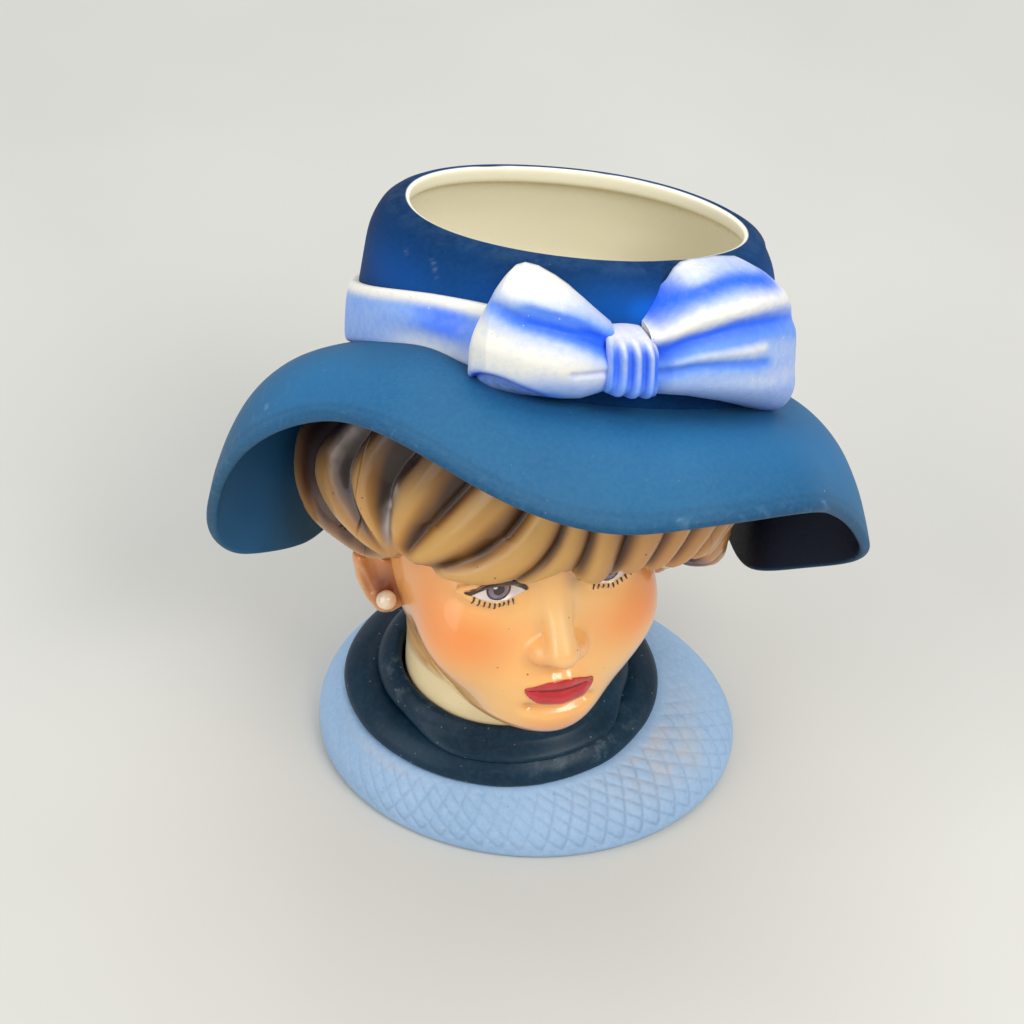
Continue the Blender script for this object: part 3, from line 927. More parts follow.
def build_bow():
    v = 0.5 - 0.5 * np.cos(np.linspace(0, math.pi, 110))
    # ---- left loop
    phi1 = np.concatenate([-23.3 + 2.4 * np.linspace(0, 1, 26)[:-1] ** 2, np.linspace(-20.9, 11.3, 150)])
    P, V = np.meshgrid(phi1, v, indexing="ij")
    hi = np.interp(P, *np.array([(-23.3, 11.5), (-22.6, 15), (-22, 17.5), (-21, 20.8), (-19, 26), (-17, 31), (-15.6, 33.4), (-14.2, 35.0), (-11.8, 36.0), (-8.2, 35.7), (-3.5, 34.0), (0, 32.2), (4.2, 29.6), (11.3, 24.6)]).T)
    lo = np.interp(P, *np.array([(-23.3, 7.5), (-22.6, 4.6), (-22, 3.6), (-19, 2.8), (-16.2, 2.6), (-3.2, 3.6), (4.2, 4.6), (10, 7.2), (11.3, 8.0)]).T)
    hi = hi + 0.0 * P
    H = lo + (hi - lo) * V
    body = np.interp(P, *np.array([(-23.3, 1.2), (-22.8, 3.0), (-22, 4.8), (-20, 7.2), (-16, 9.2), (-8, 10.2), (0, 9.6), (6, 8.2), (11.3, 6.2)]).T)
    main = [(-15, 27.2), (-11, 26.0), (-3.2, 24.4), (4.5, 22.4), (10.8, 19.2)]
    upper = [(-7, 28.4), (2.2, 26.5), (6.5, 23.7), (11, 21.8)]
    arc = [(-21.2, 6.0), (-19.2, 8.2), (-15.8, 9.2), (-11.8, 8.7), (-7.5, 7.0), (-2.0, 4.6)]
    m, m2, ar = fold(P, H, main, 2.1), fold(P, H, upper, 1.8), fold(P, H, arc, 0.9)
    below = smooth(0.6, -0.5, H - line_at(arc, P)) * smooth(-1.5, -5.0, P) * smooth(-22.5, -21.0, P)
    small = fold(P, H, [(2.5, 13.0), (6, 13.6), (10.8, 14.2)], 0.8)
    off = 0.4 + body * edge_round(V, 4.5)
    grow = smooth(-19, 2, P)
    off -= 2.0 * m * (0.45 + 0.55 * grow) + 0.8 * m2 * grow + 2.2 * below * edge_round(V, 8.0) + 0.5 * ar + 0.5 * small
    off += 0.9 * fold(P, H, [(-17, 17), (-9, 16.5), (0, 15.5), (10, 16.2)], 4.0) * 0.8 + 0.7 * fold(P, H, [(-12, 32.0), (-4, 30.5), (5, 27), (11, 23.5)], 2.0)
    blue = 1.0 * fold(P, H, main, 1.9) * (0.5 + 0.5 * smooth(-16, -6, P)) + 0.55 * fold(P, H, upper, 1.7) * grow + 0.85 * fold(P, H, arc, 0.95) * smooth(-0.5, -4, P) + 0.22 * small + 0.25 * smooth(8.5, 11, P) * smooth(26, 18, H)
    peri = 0.95 * fold(P, H, main, 4.0) + 0.7 * fold(P, H, upper, 3.2) + 0.75 * smooth(15, 8, H) * smooth(-13, 0, P) + 0.45 * smooth(8, 11, P) * smooth(25, 19, H) + 0.8 * below + 0.5 * fold(P, H, arc, 2.4) + 0.35 * smooth(-21, -23, P)
    pillow("bow_left_visual", "bow_left_loop", P, H, off, -0.6, {"peri": np.clip(peri, 0, 1), "blue": np.clip(blue, 0, 1), "grime": np.clip(0.75 * below + 0.6 * smooth(0.05, 0.0, V), 0, 1)})
    # ---- right loop
    phi2 = np.concatenate([np.linspace(19.6, 63.5, 170), 63.5 + 3.6 * np.linspace(0, 1, 30)[1:] ** 0.5])
    P, V = np.meshgrid(phi2, v, indexing="ij")
    hi = np.interp(P, *np.array([(19.6, 25.0), (21, 27.0), (23.5, 30.5), (26.5, 34.4), (28.6, 37.2), (30.6, 38.6), (34, 39.2), (42, 39.3), (50, 38.4), (56, 36.0), (59, 33.6), (62, 31.6), (65, 29.0), (66.4, 27.0), (67.1, 24.0)]).T)
    lo = np.interp(P, *np.array([(19.6, 7.4), (24, 7.4), (31, 7.0), (41.5, 5.4), (50, 3.6), (58, 1.8), (63, 0.9), (66.4, 1.2), (67.1, 2.6)]).T)
    H = lo + (hi - lo) * V
    body = np.interp(P, *np.array([(19.6, 6.2), (24, 8.4), (32, 9.8), (42, 10.2), (52, 9.6), (60, 8.6), (64, 7.6), (66, 5.6), (67.1, 1.2)]).T)
    b1 = [(20.5, 27.6), (24.5, 31.0), (29.5, 34.0), (40.8, 36.4), (54, 34.8)]
    w1 = [(20.5, 24.0), (26, 27.6), (33.2, 30.4), (46, 32.2), (58, 31.4)]
    b2 = [(20.5, 18.6), (25, 21.4), (30.2, 23.8), (41.2, 26.6), (54, 26.6), (64, 24.5)]
    w2 = [(20.5, 16.6), (31.5, 20.2), (46, 21.2)]
    b3 = [(20.5, 14.4), (31.5, 17.2), (47, 17.4)]
    fade = smooth(66, 30, P)
    f1, f2, f3 = fold(P, H, b1, 1.9), fold(P, H, b2, 2.0), fold(P, H, b3, 1.1)
    off = 0.4 + body * edge_round(V, 4.5)
    off -= 1.9 * f1 * (0.4 + 0.6 * fade) + 2.1 * f2 * (0.35 + 0.65 * fade) + 0.7 * f3 * fade
    off += 1.0 * fold(P, H, w1, 2.0) * (0.5 + 0.5 * fade) + 0.5 * fold(P, H, w2, 1.2) * fade + 0.3 * fold(P, H, [(21, 11), (40, 11), (62, 9)], 2.5)
    wide = 1.5 + 1.6 * smooth(22, 56, P)
    blue = 0.95 * np.maximum(fold(P, H, b1, 1.7), 0.5 * fold(P, H, b1, 2.6) * smooth(24, 44, P)) + 0.95 * np.maximum(fold(P, H, b2, 1.5), 0.75 * fold(P, H, b2, 3.0) * smooth(24, 40, P)) + 0.5 * fold(P, H, b3, 1.1)
    blue = blue * (1 - 0.45 * smooth(48, 64, P)) + 0.18 * smooth(22, 10, H) * smooth(40, 64, P)
    under2 = smooth(1.0, -3.0, H - line_at(b2, P))
    peri = 0.85 * fold(P, H, b1, 3.2) + 0.9 * fold(P, H, b2, 3.4) + under2 * 0.72 * (1 - 0.75 * fold(P, H, w2, 1.4)) - 0.5 * fold(P, H, w1, 1.8) + 0.3 * fold(P, H, b3, 2.0) + 0.25 * smooth(24, 20, P) * smooth(26, 20, H)
    peri = peri - 0.22 * under2 * smooth(9, 14, H) * smooth(16, 12, H) * smooth(28, 50, P)
    pillow("bow_right_visual", "bow_right_loop", P, H, off, -0.6, {"peri": np.clip(peri, 0, 1), "blue": np.clip(blue, 0, 1), "grime": np.clip(0.5 * smooth(0.05, 0.0, V), 0, 1)})
    # ---- knot
    phi3 = 15.2 - 5.9 * np.cos(np.linspace(0, math.pi, 90))
    P, V = np.meshgrid(phi3, v, indexing="ij")
    w = (P - 9.3) / 11.8
    hi = 23.4 + 0.8 * np.sin(np.pi * w) - 1.2 * smooth(0.8, 1.0, w)
    lo = 7.4 - 0.3 * np.sin(np.pi * w)
    lo = lo - 0.5 * np.abs(np.sin(3 * np.pi * w))
    H = lo + (hi - lo) * V
    off = 0.4 + (6.0 + 4.6 * np.sqrt(np.clip(1 - (2 * w - 1) ** 4, 0, 1)) - 1.6 * np.exp(-((V - 0.5) / 0.35) ** 2) * 0.5) * edge_round(V, 5.0)
    bend = 0.06 * np.sin(np.pi * V)
    pleat = np.cos(2 * np.pi * 4.0 * (w - bend) + 0.6)
    off += 0.75 * pleat * edge_round(V, 10.0) * smooth(0, 0.12, w) * smooth(1, 0.88, w)
    blue = 0.2 + 0.6 * smooth(0.3, -0.8, pleat) * smooth(0.97, 0.75, V) * (0.35 + 0.65 * smooth(0.1, 0.45, V))
    peri = 0.45 + 0.5 * smooth(0.95, 0.65, V) - 0.3 * smooth(0.2, 0.9, pleat) * smooth(0.2, 0.6, V)
    peri = peri * smooth(0.98, 0.84, V)
    pillow("bow_knot_visual", "bow_knot", P, H, off, -0.6, {"peri": np.clip(peri, 0, 1), "blue": np.clip(blue, 0, 1), "grime": np.clip(0.35 * smooth(0.06, 0.0, V), 0, 1)})


# ------------------------------------------------------------------ hair
LOCKS = {
    # left side, swept down and forward to the temple
    "la0": [(-104, 74), (-110, 60), (-104, 46), (-88, 38), (-70, 34.5), (-56, 35.5), (-46, 40), (-39.5, 45.0)],
    "la": [(-78, 74), (-85, 62), (-88, 50), (-78, 42), (-64, 38.5), (-52, 39.5), (-43, 42.5), (-39, 45.3)],
    "lb": [(-58, 74), (-64, 66), (-67.5, 58.8), (-59, 50.5), (-49.5, 45.8), (-42.5, 44.8), (-38.8, 45.6)],
    "lc": [(-45.5, 74), (-50.5, 67), (-53.5, 60.5), (-48.5, 53.0), (-43.5, 48.4), (-39.8, 46.6), (-38.4, 46.1)],
    # fringe, swept from the right to the left temple
    "f1": [(-22, 76), (-30, 66), (-36, 57), (-38.6, 50.4), (-38.0, 46.6)],
    "f2": [(-4, 73), (-11.5, 63.5), (-20, 55.5), (-28.5, 48.4), (-36.2, 45.6)],
    "f3": [(4, 70), (1.2, 61), (-2.6, 53.5), (-9.4, 47.0), (-19, 43.4), (-26, 43.0)],
    "f4": [(9.0, 70), (7.8, 60), (6.2, 53.5), (2.4, 47.6), (-2.4, 44.6)],
    "f5": [(17, 70), (15.4, 59.2), (15.2, 51), (14.6, 44.5)],
    "f6": [(31, 70), (28.4, 58), (26.2, 51), (22.8, 46.0)],
    "f7": [(41, 70), (37.4, 58), (34.4, 50.5), (29.6, 45.6)],
    "f8": [(52, 68), (47.8, 56), (43.4, 48.6), (37.4, 43.8)],
    # right side
    "r1": [(66, 70), (60, 57), (55.6, 48.4), (49.5, 42.6)],
    "r2": [(78, 70), (72, 57), (67.2, 48), (61.2, 40.6)],
    "r3": [(90, 70), (85, 58), (80.4, 48), (74.4, 39.4), (70, 36.6)],
    "r4": [(101, 72), (98, 58), (94.4, 47), (88.4, 37.8), (83, 34.6)],
    "r5": [(113, 72), (111, 58), (108.4, 46), (103.4, 36.0), (97, 32.0)],
}
for i, th in enumerate(range(124, 238, 11)):
    LOCKS["b%d" % i] = [(th + 5.0 * math.sin(lv / 9.0 + i * 1.3) + (th - 181) * 0.0016 * (lv - 40), lv) for lv in (76, 66, 56, 46, 37, 29, 22, 15, 9)]


def hair_low(theta):
    """Scalloped lower edge of the hair, level above the chin at each angle."""
    keys = np.array([(-122, 22), (-118, 26), (-112, 27.0), (-100, 29.2), (-90, 29.9), (-78, 30.5), (-66, 31.2), (-58, 33.6), (-50, 36.8), (-44, 40.2), (-40, 44.0), (-38.4, 45.0), (-36, 44.0),
                     (-31, 42.4), (-25, 41.2), (-18, 41.2), (-11, 42.4), (-6, 43.6), (-2.5, 44.4), (1.5, 46.0), (4.6, 47.2), (8.2, 45.6), (12, 44.1), (16, 43.9), (19.6, 45.0), (21.4, 46.4), (23.5, 45.4),
                     (26.4, 45.2), (28.6, 46.2), (30.6, 44.8), (33.6, 44.4), (36.2, 45.2), (38.4, 43.4), (42, 43.2), (45.4, 44.2), (48.4, 41.4), (52, 40.4), (55.6, 41.0), (59.4, 36.4), (63, 34.8), (66.4, 35.2),
                     (70.4, 30.4), (74.6, 28.6), (78, 29.6), (82.6, 26.6), (87, 25.6), (91, 26.8), (96, 27.0), (101, 26.4), (106, 27.4), (112, 25.0), (118, 24.0), (122, 21)])
    th = (np.asarray(theta, float) + 180) % 360 - 180
    front = np.interp(th, keys[:, 0], keys[:, 1])
    rear = (np.asarray(theta, float)) % 360
    back_low = 11.0 + 11.0 * smooth(146, 122, rear) + 11.0 * smooth(214, 238, rear) + 1.0 * np.cos((rear - 124) / 11 * TAU)
    return np.where(np.abs(th) > 122, back_low, front)


def hair_relief(p, normal):
    """Height over the nominal surface, groove mask and rank of the nearest lock at points p."""
    n = len(p)
    d1, d2 = np.full(n, 1e9), np.full(n, 1e9)
    who = np.zeros(n, int)
    side = np.ones(n)
    for k, pts in enumerate(LOCKS.values()):
        c = curve_through(pts, 14 * len(pts))
        line = hair_point(c[:, 0], np.clip(c[:, 1], 2, 80))
        for _ in range(160):
            line[1:-1] = 0.25 * line[:-2] + 0.5 * line[1:-1] + 0.25 * line[2:]
        lo, hi = line.min(0) - 22, line.max(0) + 22
        sel = np.where(((p > lo) & (p < hi)).all(1))[0]
        if not len(sel):
            continue
        q = p[sel]
        best = np.full(len(sel), 1e9)
        hand = np.ones(len(sel))
        for a, b in zip(line[:-1], line[1:]):
            ab = b - a
            t = np.clip(((q - a) @ ab) / (ab @ ab + 1e-9), 0, 1)
            off = q - a - t[:, None] * ab
            dist = (off ** 2).sum(1)
            near = dist < best
            turn = np.sign((off * np.cross(normal[sel], ab)).sum(1))
            hand = np.where(near, turn, hand)
            best = np.where(near, dist, best)
        best = np.sqrt(best)
        closer = best < d1[sel]
        d2[sel] = np.where(closer, d1[sel], np.minimum(d2[sel], best))
        who[sel] = np.where(closer, k, who[sel])
        side[sel] = np.where(closer, hand, side[sel])
        d1[sel] = np.where(closer, best, d1[sel])
    d2 = np.minimum(d2, 30.0)
    width = np.minimum(d1 + d2, 16.0)
    w = np.clip(d1 / np.maximum(d1 + d2, 1e-6), 0, 0.5)
    depth = np.clip(0.36 * width, 0.25, 3.6)
    # each lock laps over the one on its left: crisp on that side, falling away slowly on the other
    height = 0.25 - depth * np.where(side > 0, (2 * w) ** 1.7, (2 * w) ** 3.0)
    # fine strands that follow the lock
    strand = 0.13 * np.cos(TAU * 3.4 * w + hash01(who) * 6) * smooth(0.02, 0.12, w) * smooth(2.0, 6.0, width)
    groove = np.where(side > 0, smooth(0.03, 0.44, w), 0.9 * smooth(0.33, 0.5, w)) * smooth(1.0, 5.0, width)
    light = np.where(side > 0, smooth(0.16, 0.0, w), 0.5 + 0.5 * smooth(0.0, 0.2, w)) * smooth(0.42, 0.3, w) * smooth(2.0, 6.0, width)
    return height + strand, groove, light, w, width


def soften(x, times):
    """Light blur over a grid, both ways."""
    for _ in range(times):
        for ax in (0, 1):
            e = np.concatenate([np.take(x, [0], ax), x, np.take(x, [-1], ax)], ax)
            m = x.shape[ax]
            x = 0.25 * np.take(e, range(0, m), ax) + 0.5 * np.take(e, range(1, m + 1), ax) + 0.25 * np.take(e, range(2, m + 2), ax)
    return x


def build_hair(name, node, t0, t1):
    nu, pad = int((t1 - t0) / 0.55) + 1, 10
    th = t0 + (np.arange(nu + 2 * pad) - pad) * (t1 - t0) / (nu - 1)      # worked out a little past the joints, then trimmed
    rows = 96
    s = np.linspace(0, 1, rows)                     # from the top to the lower edge
    T, S = np.meshgrid(th, s, indexing="ij")
    low = hair_low(T)
    L = 80.0 + (low - 80.0) * S
    p = hair_point(T, L)
    for _ in range(110):
        p[:, 1:-1] = 0.25 * p[:, :-2] + 0.5 * p[:, 1:-1] + 0.25 * p[:, 2:]
    e = 0.4
    du = hair_point(T + e, L) - hair_point(T - e, L)
    dv = hair_point(T, np.minimum(L + e, 79.9)) - hair_point(T, np.minimum(L + e, 79.9) - 2 * e)
    n = np.cross(du, dv)
    n /= np.linalg.norm(n, axis=-1, keepdims=True)
    centre = BROW_LOW + (BROW_HIGH - BROW_LOW) * 0.4
    if (n * (p - centre)).sum(-1).mean() < 0:
        n = -n
    flat = p.reshape(-1, 3)
    height, groove, light, w, width = hair_relief(flat, n.reshape(-1, 3))
    height, groove, light = (soften(x.reshape(T.shape), k) for x, k in ((height, 3), (groove, 2), (light, 3)))
    th1 = (T + 180) % 360 - 180
    height = height + 3.4 * np.exp(-((th1 + 86) / 22) ** 2) * smooth(32, 42, L) * smooth(72, 58, L) + 10.0 * np.exp(-((th1 - 84) / 19) ** 2) * smooth(47, 31, L)
    # the lower edge rolls under
    above = (L - low)
    r = 5.0
    curl = np.where(above < r, r - np.sqrt(np.clip(r * r - (r - above) ** 2, 0, None)), 0.0)
    outer = p + n * (height - curl)[..., None]
    # underside and hidden inner face, kept outside the skull
    room = np.maximum(skull_surface(flat).reshape(T.shape) - 0.5, 0.8)
    inner = p - n * np.maximum(room, curl + 1.0 - height)[..., None] * 1.0
    pts = np.concatenate([outer, inner[:, ::-1]], 1)[pad:-pad]
    nv = pts.shape[1]
    faces = grid_faces(nu, nv, False, True)
    caps = []
    for i in (0, nu - 1):
        k = np.arange(rows - 1)
        q = np.stack([i * nv + k, i * nv + k + 1, i * nv + nv - 2 - k, i * nv + nv - 1 - k], -1)
        caps.append(q[:, ::-1] if i == 0 else q)
    faces = np.concatenate([faces] + caps)
    th2 = (T + 180) % 360 - 180
    rosy = smooth(8, 30, th2) * smooth(120, 70, th2) * 0.7
    g = np.clip(groove * (0.9 + 0.15 * np.sin(T * 0.7)) + 0.3 * smooth(-48, -62, th2) * smooth(-135, -110, th2) + 0.35 * smooth(56, 66, L) * smooth(-10, -30, th2), 0, 1)
    deep = np.clip(smooth(60, 73, L) * 0.85 + groove ** 2 * 0.45 * smooth(44, 56, L) + 0.35 * groove ** 3, 0, 1)
    deep = np.clip(deep + 0.5 * smooth(-46, -60, th2) * smooth(-140, -115, th2) * smooth(48, 62, L) + 0.75 * fold(T, L, [(-38, 68), (-41.5, 60), (-43, 55)], 2.6) * smooth(50, 58, L), 0, 1)
    scuff = 0.85 * fold(T, L, [(-40.5, 61), (-43, 56), (-42.6, 52), (-41, 48.5)], 1.1) + 0.6 * fold(T, L, [(-58.5, 71), (-62.5, 66), (-64.5, 62)], 1.6)
    scuff = np.clip(scuff * (0.65 + 0.5 * value_noise(flat, 1.6, 77).reshape(T.shape)), 0, 1)
    att = {"groove": g, "deep": deep, "scuff": scuff, "rosy": rosy, "light": 0.55 * light * smooth(74, 62, L)}
    full = {k: np.concatenate([v, v[:, ::-1]], 1)[pad:-pad] for k, v in att.items()}
    return make(name, pts.reshape(-1, 3), faces, MAT_HAIR, full, node=node)


# ------------------------------------------------------------------ head: distance field and surface
def ell(q, c, r):
    d = q - np.asarray(c, float)
    r = np.asarray(r, float)
    k0 = np.sqrt(((d / r) ** 2).sum(-1)) + 1e-9
    k1 = np.sqrt(((d / r ** 2) ** 2).sum(-1)) + 1e-9
    return k0 * (k0 - 1) / k1


def chain(q, pts, rads):
    pts = np.asarray(pts, float)
    out = None
    for a, b, ra, rb in zip(pts[:-1], pts[1:], rads[:-1], rads[1:]):
        ab = b - a
        t = np.clip(((q - a) @ ab) / (ab @ ab), 0, 1)
        d = np.sqrt(((q - a - t[..., None] * ab) ** 2).sum(-1)) - (ra + (rb - ra) * t)
        out = d if out is None else np.minimum(out, d)
    return out


def smin(a, b, k):
    h = np.maximum(k - np.abs(a - b), 0) / k
    return np.minimum(a, b) - h * h * k * 0.25


def smax(a, b, k):
    return -smin(-a, -b, k)


EYE_H = 41.0


def head_field(p):
    q = to_face(p)
    q[..., 0] = np.sqrt(q[..., 0] ** 2 + 0.64)
    h = to_head(p)[..., 2]
    f = ell(q, (0, 33, 37), (29.6, 32, 40))
    f = smin(f, ell(q, (0, 20.0, 15.5), (21.4, 19.0, 15.4)), 8)
    f = smin(f, ell(q, (0, 9.8, 6.8), (9.2, 8.6, 7.8)), 7)
    f = smin(f, ell(q, (14.0, 14.6, 25.5), (11.6, 11.2, 12.0)), 6)
    f = smin(f, ell(q, (0, 10.0, 17), (10.5, 9.6, 8.5)), 6)
    f = smin(f, ell(q, (0, 12.4, 50.5), (23, 10.8, 8)), 6)
    f = smin(f, skull_surface(p, 2.2) + 3.0 * smooth(50, 40, h), 6)
    # eye sockets, eyeballs and lids
    f = smax(f, -ell(q, (12.4, -2.2, EYE_H + 1.0), (8.6, 5.6, 5.0)), 5)
    f = smin(f, ell(q, (12.2, 9.9, EYE_H), (7.6, 7.0, 6.6)), 0.8)
    f = smin(f, chain(q, [(5.4, 4.6, EYE_H - 0.8), (8.2, 2.9, EYE_H + 2.2), (12.2, 2.1, EYE_H + 3.4), (16.2, 3.2, EYE_H + 2.4), (19.4, 6.4, EYE_H - 0.4)], (0.4, 0.8, 1.0, 0.9, 0.4)), 1.1)
    f = smin(f, chain(q, [(5.4, 4.6, EYE_H - 1.0), (8.6, 3.6, EYE_H - 2.4), (12.6, 3.0, EYE_H - 3.2), (16.4, 4.2, EYE_H - 2.4), (19.4, 6.4, EYE_H - 0.5)], (0.3, 0.6, 0.75, 0.65, 0.3)), 1.1)
    # nose
    f = smin(f, chain(q, [(0, 4.6, 46), (0, 1.4, 38.5), (0, -2.2, 31), (0, -3.8, 27.4)], (2.2, 2.6, 3.0, 3.5)), 4)
    f = smin(f, ell(q, (3.7, 0.2, 25.8), (2.6, 3.3, 2.4)), 3.2)
    f = smax(f, -ell(q, (2.2, -2.0, 23.4), (1.25, 2.3, 1.1)), 0.9)
    # mouth
    f = smax(f, -chain(q, [(0, -1.9, 22.2), (0, -2.2, 19.8)], (0.9, 0.7)), 1.6)
    f = smin(f, chain(q, [(8.4, 3.6, 16.4), (5.0, 0.8, 17.5), (2.0, -0.5, 18.1), (0, -0.3, 17.6)], (0.3, 1.2, 1.6, 1.5)), 1.4)
    f = smin(f, chain(q, [(7.6, 3.2, 15.6), (4.2, 0.7, 14.2), (0, -0.1, 13.7)], (0.3, 1.6, 2.0)), 1.4)
    f = smax(f, -chain(q, [(6.4, 0.6, 16.0), (4.4, -1.1, 15.95), (0, -2.2, 15.9)], (0.1, 0.3, 0.35)), 0.7)
    f = smax(f, -chain(q, [(6, 2.2, 10.3), (0, 0.2, 10.0)], (0.9, 1.2)), 3.0)
    # neck
    z = p[..., 2]
    t = np.clip((z - 14) / 30.0, 0, 1)
    nx, ny = p[..., 0] - (-5.8 + 1.2 * t), p[..., 1] - (-0.4 - 0.4 * t)
    neck = oval(nx, ny, 23.6 - 0.4 * t, 21.7 - 0.3 * t)
    neck = np.maximum(neck, z - 62.0)
    f = smin(f, neck, 7)
    # hollow, and the open ends
    low_cav = np.maximum(oval(nx, ny, 20.4 - 0.7 * t, 18.4 - 0.5 * t), z - 60.0)
    top_cav = np.maximum(skull_surface(p, 5.6), 5.0 - h)
    f = smax(f, -smin(low_cav, top_cav, 4), 0.6)
    f = np.maximum(f, 14.0 - z)
    f = np.maximum(f, (p - BROW_HIGH) @ HAT[:, 2])
    return f


def surface_nets(field, lo, hi, step, block=4, reach=3.4):
    """Quad mesh of field = 0; the field is worked out only in blocks near the surface."""
    lo = np.asarray(lo, float)
    nb = np.ceil((np.asarray(hi, float) - lo) / (step * block)).astype(int)
    ax = [lo[k] + (np.arange(nb[k]) + 0.5) * step * block for k in range(3)]
    cen = np.stack(np.meshgrid(*ax, indexing="ij"), -1)
    fc = field(cen.reshape(-1, 3)).reshape(tuple(nb))
    big = np.repeat(np.repeat(np.repeat(np.sign(fc) * 9.0, block, 0), block, 1), block, 2).astype(np.float32)
    act = np.argwhere(np.abs(fc) < reach)
    off = np.stack(np.meshgrid(*[np.arange(block)] * 3, indexing="ij"), -1).reshape(-1, 3)
    for part in np.array_split(act, max(1, len(act) // 4000)):
        idx = (part[:, None] * block + off).reshape(-1, 3)
        big[idx[:, 0], idx[:, 1], idx[:, 2]] = field(lo + idx * step)
    F = big
    ins = F < 0
    nx, ny, nz = F.shape
    c = [ins[i:nx - 1 + i, j:ny - 1 + j, k:nz - 1 + k] for i in (0, 1) for j in (0, 1) for k in (0, 1)]
    total = sum(x.astype(np.int8) for x in c)
    cells = np.argwhere((total > 0) & (total < 8))
    index = np.full((nx - 1, ny - 1, nz - 1), -1, np.int64)
    index[cells[:, 0], cells[:, 1], cells[:, 2]] = np.arange(len(cells))
    acc, cnt = np.zeros((len(cells), 3)), np.zeros(len(cells))
    for axis in range(3):
        others = [k for k in range(3) if k != axis]
        for u in (0, 1):
            for v in (0, 1):
                a = np.zeros(3, int)
                a[others[0]], a[others[1]] = u, v
                b = a.copy()
                b[axis] = 1
                ia, ib = cells + a, cells + b
                fa, fb = F[ia[:, 0], ia[:, 1], ia[:, 2]], F[ib[:, 0], ib[:, 1], ib[:, 2]]
                on = (fa < 0) != (fb < 0)
                t = np.where(on, fa / np.where(on, fa - fb, 1), 0)
                acc += np.where(on[:, None], ia + (ib - ia) * t[:, None], 0)
                cnt += on
    verts = lo + acc / cnt[:, None] * step
    faces = []
    for axis in range(3):
        sl0, sl1 = [slice(1, -1)] * 3, [slice(1, -1)] * 3
        sl0[axis], sl1[axis] = slice(0, -1), slice(1, None)
        a, b = ins[tuple(sl0)], ins[tuple(sl1)]
        e = np.argwhere(a != b)
        base = e.copy()
        for k in range(3):
            if k != axis:
                base[:, k] += 1
        o1, o2 = (axis + 1) % 3, (axis + 2) % 3
        s1, s2 = np.zeros(3, int), np.zeros(3, int)
        s1[o1], s2[o2] = 1, 1
        q = [base - s1 - s2, base - s2, base, base - s1]
        quad = np.stack([index[x[:, 0], x[:, 1], x[:, 2]] for x in q], -1)
        out = a[e[:, 0], e[:, 1], e[:, 2]]
        quad = np.where(out[:, None], quad, quad[:, ::-1])
        faces.append(quad)
    faces = np.concatenate(faces)
    faces = faces[(faces >= 0).all(1)]
    return verts, faces


def settle(field, v, rounds=2, e=0.05, most=0.4):
    """Move points onto field = 0."""
    g = None
    for _ in range(rounds):
        f = field(v)
        g = np.stack([field(v + np.eye(3)[k] * e) - f for k in range(3)], -1) / e
        gg = np.maximum((g ** 2).sum(-1, keepdims=True), 0.05)
        v = v - np.clip(f[:, None] * g / gg, -most, most)
    return v, g / np.maximum(np.linalg.norm(g, axis=-1, keepdims=True), 1e-6)


def spot(q, c, r, p=2.0):
    return np.exp(-np.abs(np.sqrt((((q - np.asarray(c, float)) / np.asarray(r, float)) ** 2).sum(-1))) ** p)


def build_head():
    v, f = surface_nets(head_field, (-42, -56, 10), (50, 42, 128), 0.55)
    v, n = settle(head_field, v)
    q = to_head(v)
    qa = to_face(v)
    qa[:, 0] = np.abs(qa[:, 0])
    inside = (skull_surface(v, 4.4) < 0) & (q[:, 2] > 2) | ((oval(v[:, 0] + 5.4, v[:, 1] + 0.5, 22.0, 20.0) < 0) & (v[:, 2] < 46) & (q[:, 2] < 6))
    blush = 0.85 * spot(qa, (16.5, 9.5, 27.5), (8.5, 12, 7.0)) + 0.55 * spot(qa, (0, 4, 2.5), (7.5, 9, 5)) + 0.35 * spot(qa, (3.6, -2, 24.6), (3.2, 4, 2.4))
    blush += 0.45 * spot(qa, (12, 2, EYE_H + 5.2), (8, 6, 2.4)) + 0.5 * spot(qa, (24, 16, 34), (6, 12, 14)) + 0.3 * spot(qa, (0, 2, 20.5), (2.2, 4, 2.2)) + 0.25 * spot(qa, (0, 4, 50), (24, 12, 6))
    tan = 0.3 * spot(qa, (6.4, 3.5, EYE_H + 3.4), (2.6, 5, 3.6)) + 0.35 * spot(qa, (27, 24, 30), (5, 10, 14)) + 0.22 * spot(qa, (12.5, 3, EYE_H + 4.6), (7, 5, 1.3)) + 0.25 * spot(qa, (2.2, -2, 23.4), (1.4, 2.5, 1.0))
    pale = smooth(2.0, -6.0, q[:, 2]) * 0.85 + 0.25 * spot(qa, (0, -3, 31), (2.4, 5, 8))
    ob = make("head_visual", v, f, MAT_SKIN, {"blush": np.clip(blush, 0, 1), "tan": np.clip(tan, 0, 1), "pale": np.clip(pale, 0, 1), "inside": inside.astype(float)}, node="head_shell")
    if "neck_shell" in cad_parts:
        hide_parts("neck_shell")
    return v, f


# ------------------------------------------------------------------ brushed paint on the face
def project(x, h):
    """Points on the front of the face behind (x, h) of the face frame."""
    d = np.full(x.shape, -9.0)
    for _ in range(44):
        p = from_face(np.stack([x, d, h], -1))
        d = d + np.clip(head_field(p), -1.0, 2.0) * 0.85
    return from_face(np.stack([x, d, h], -1)), d


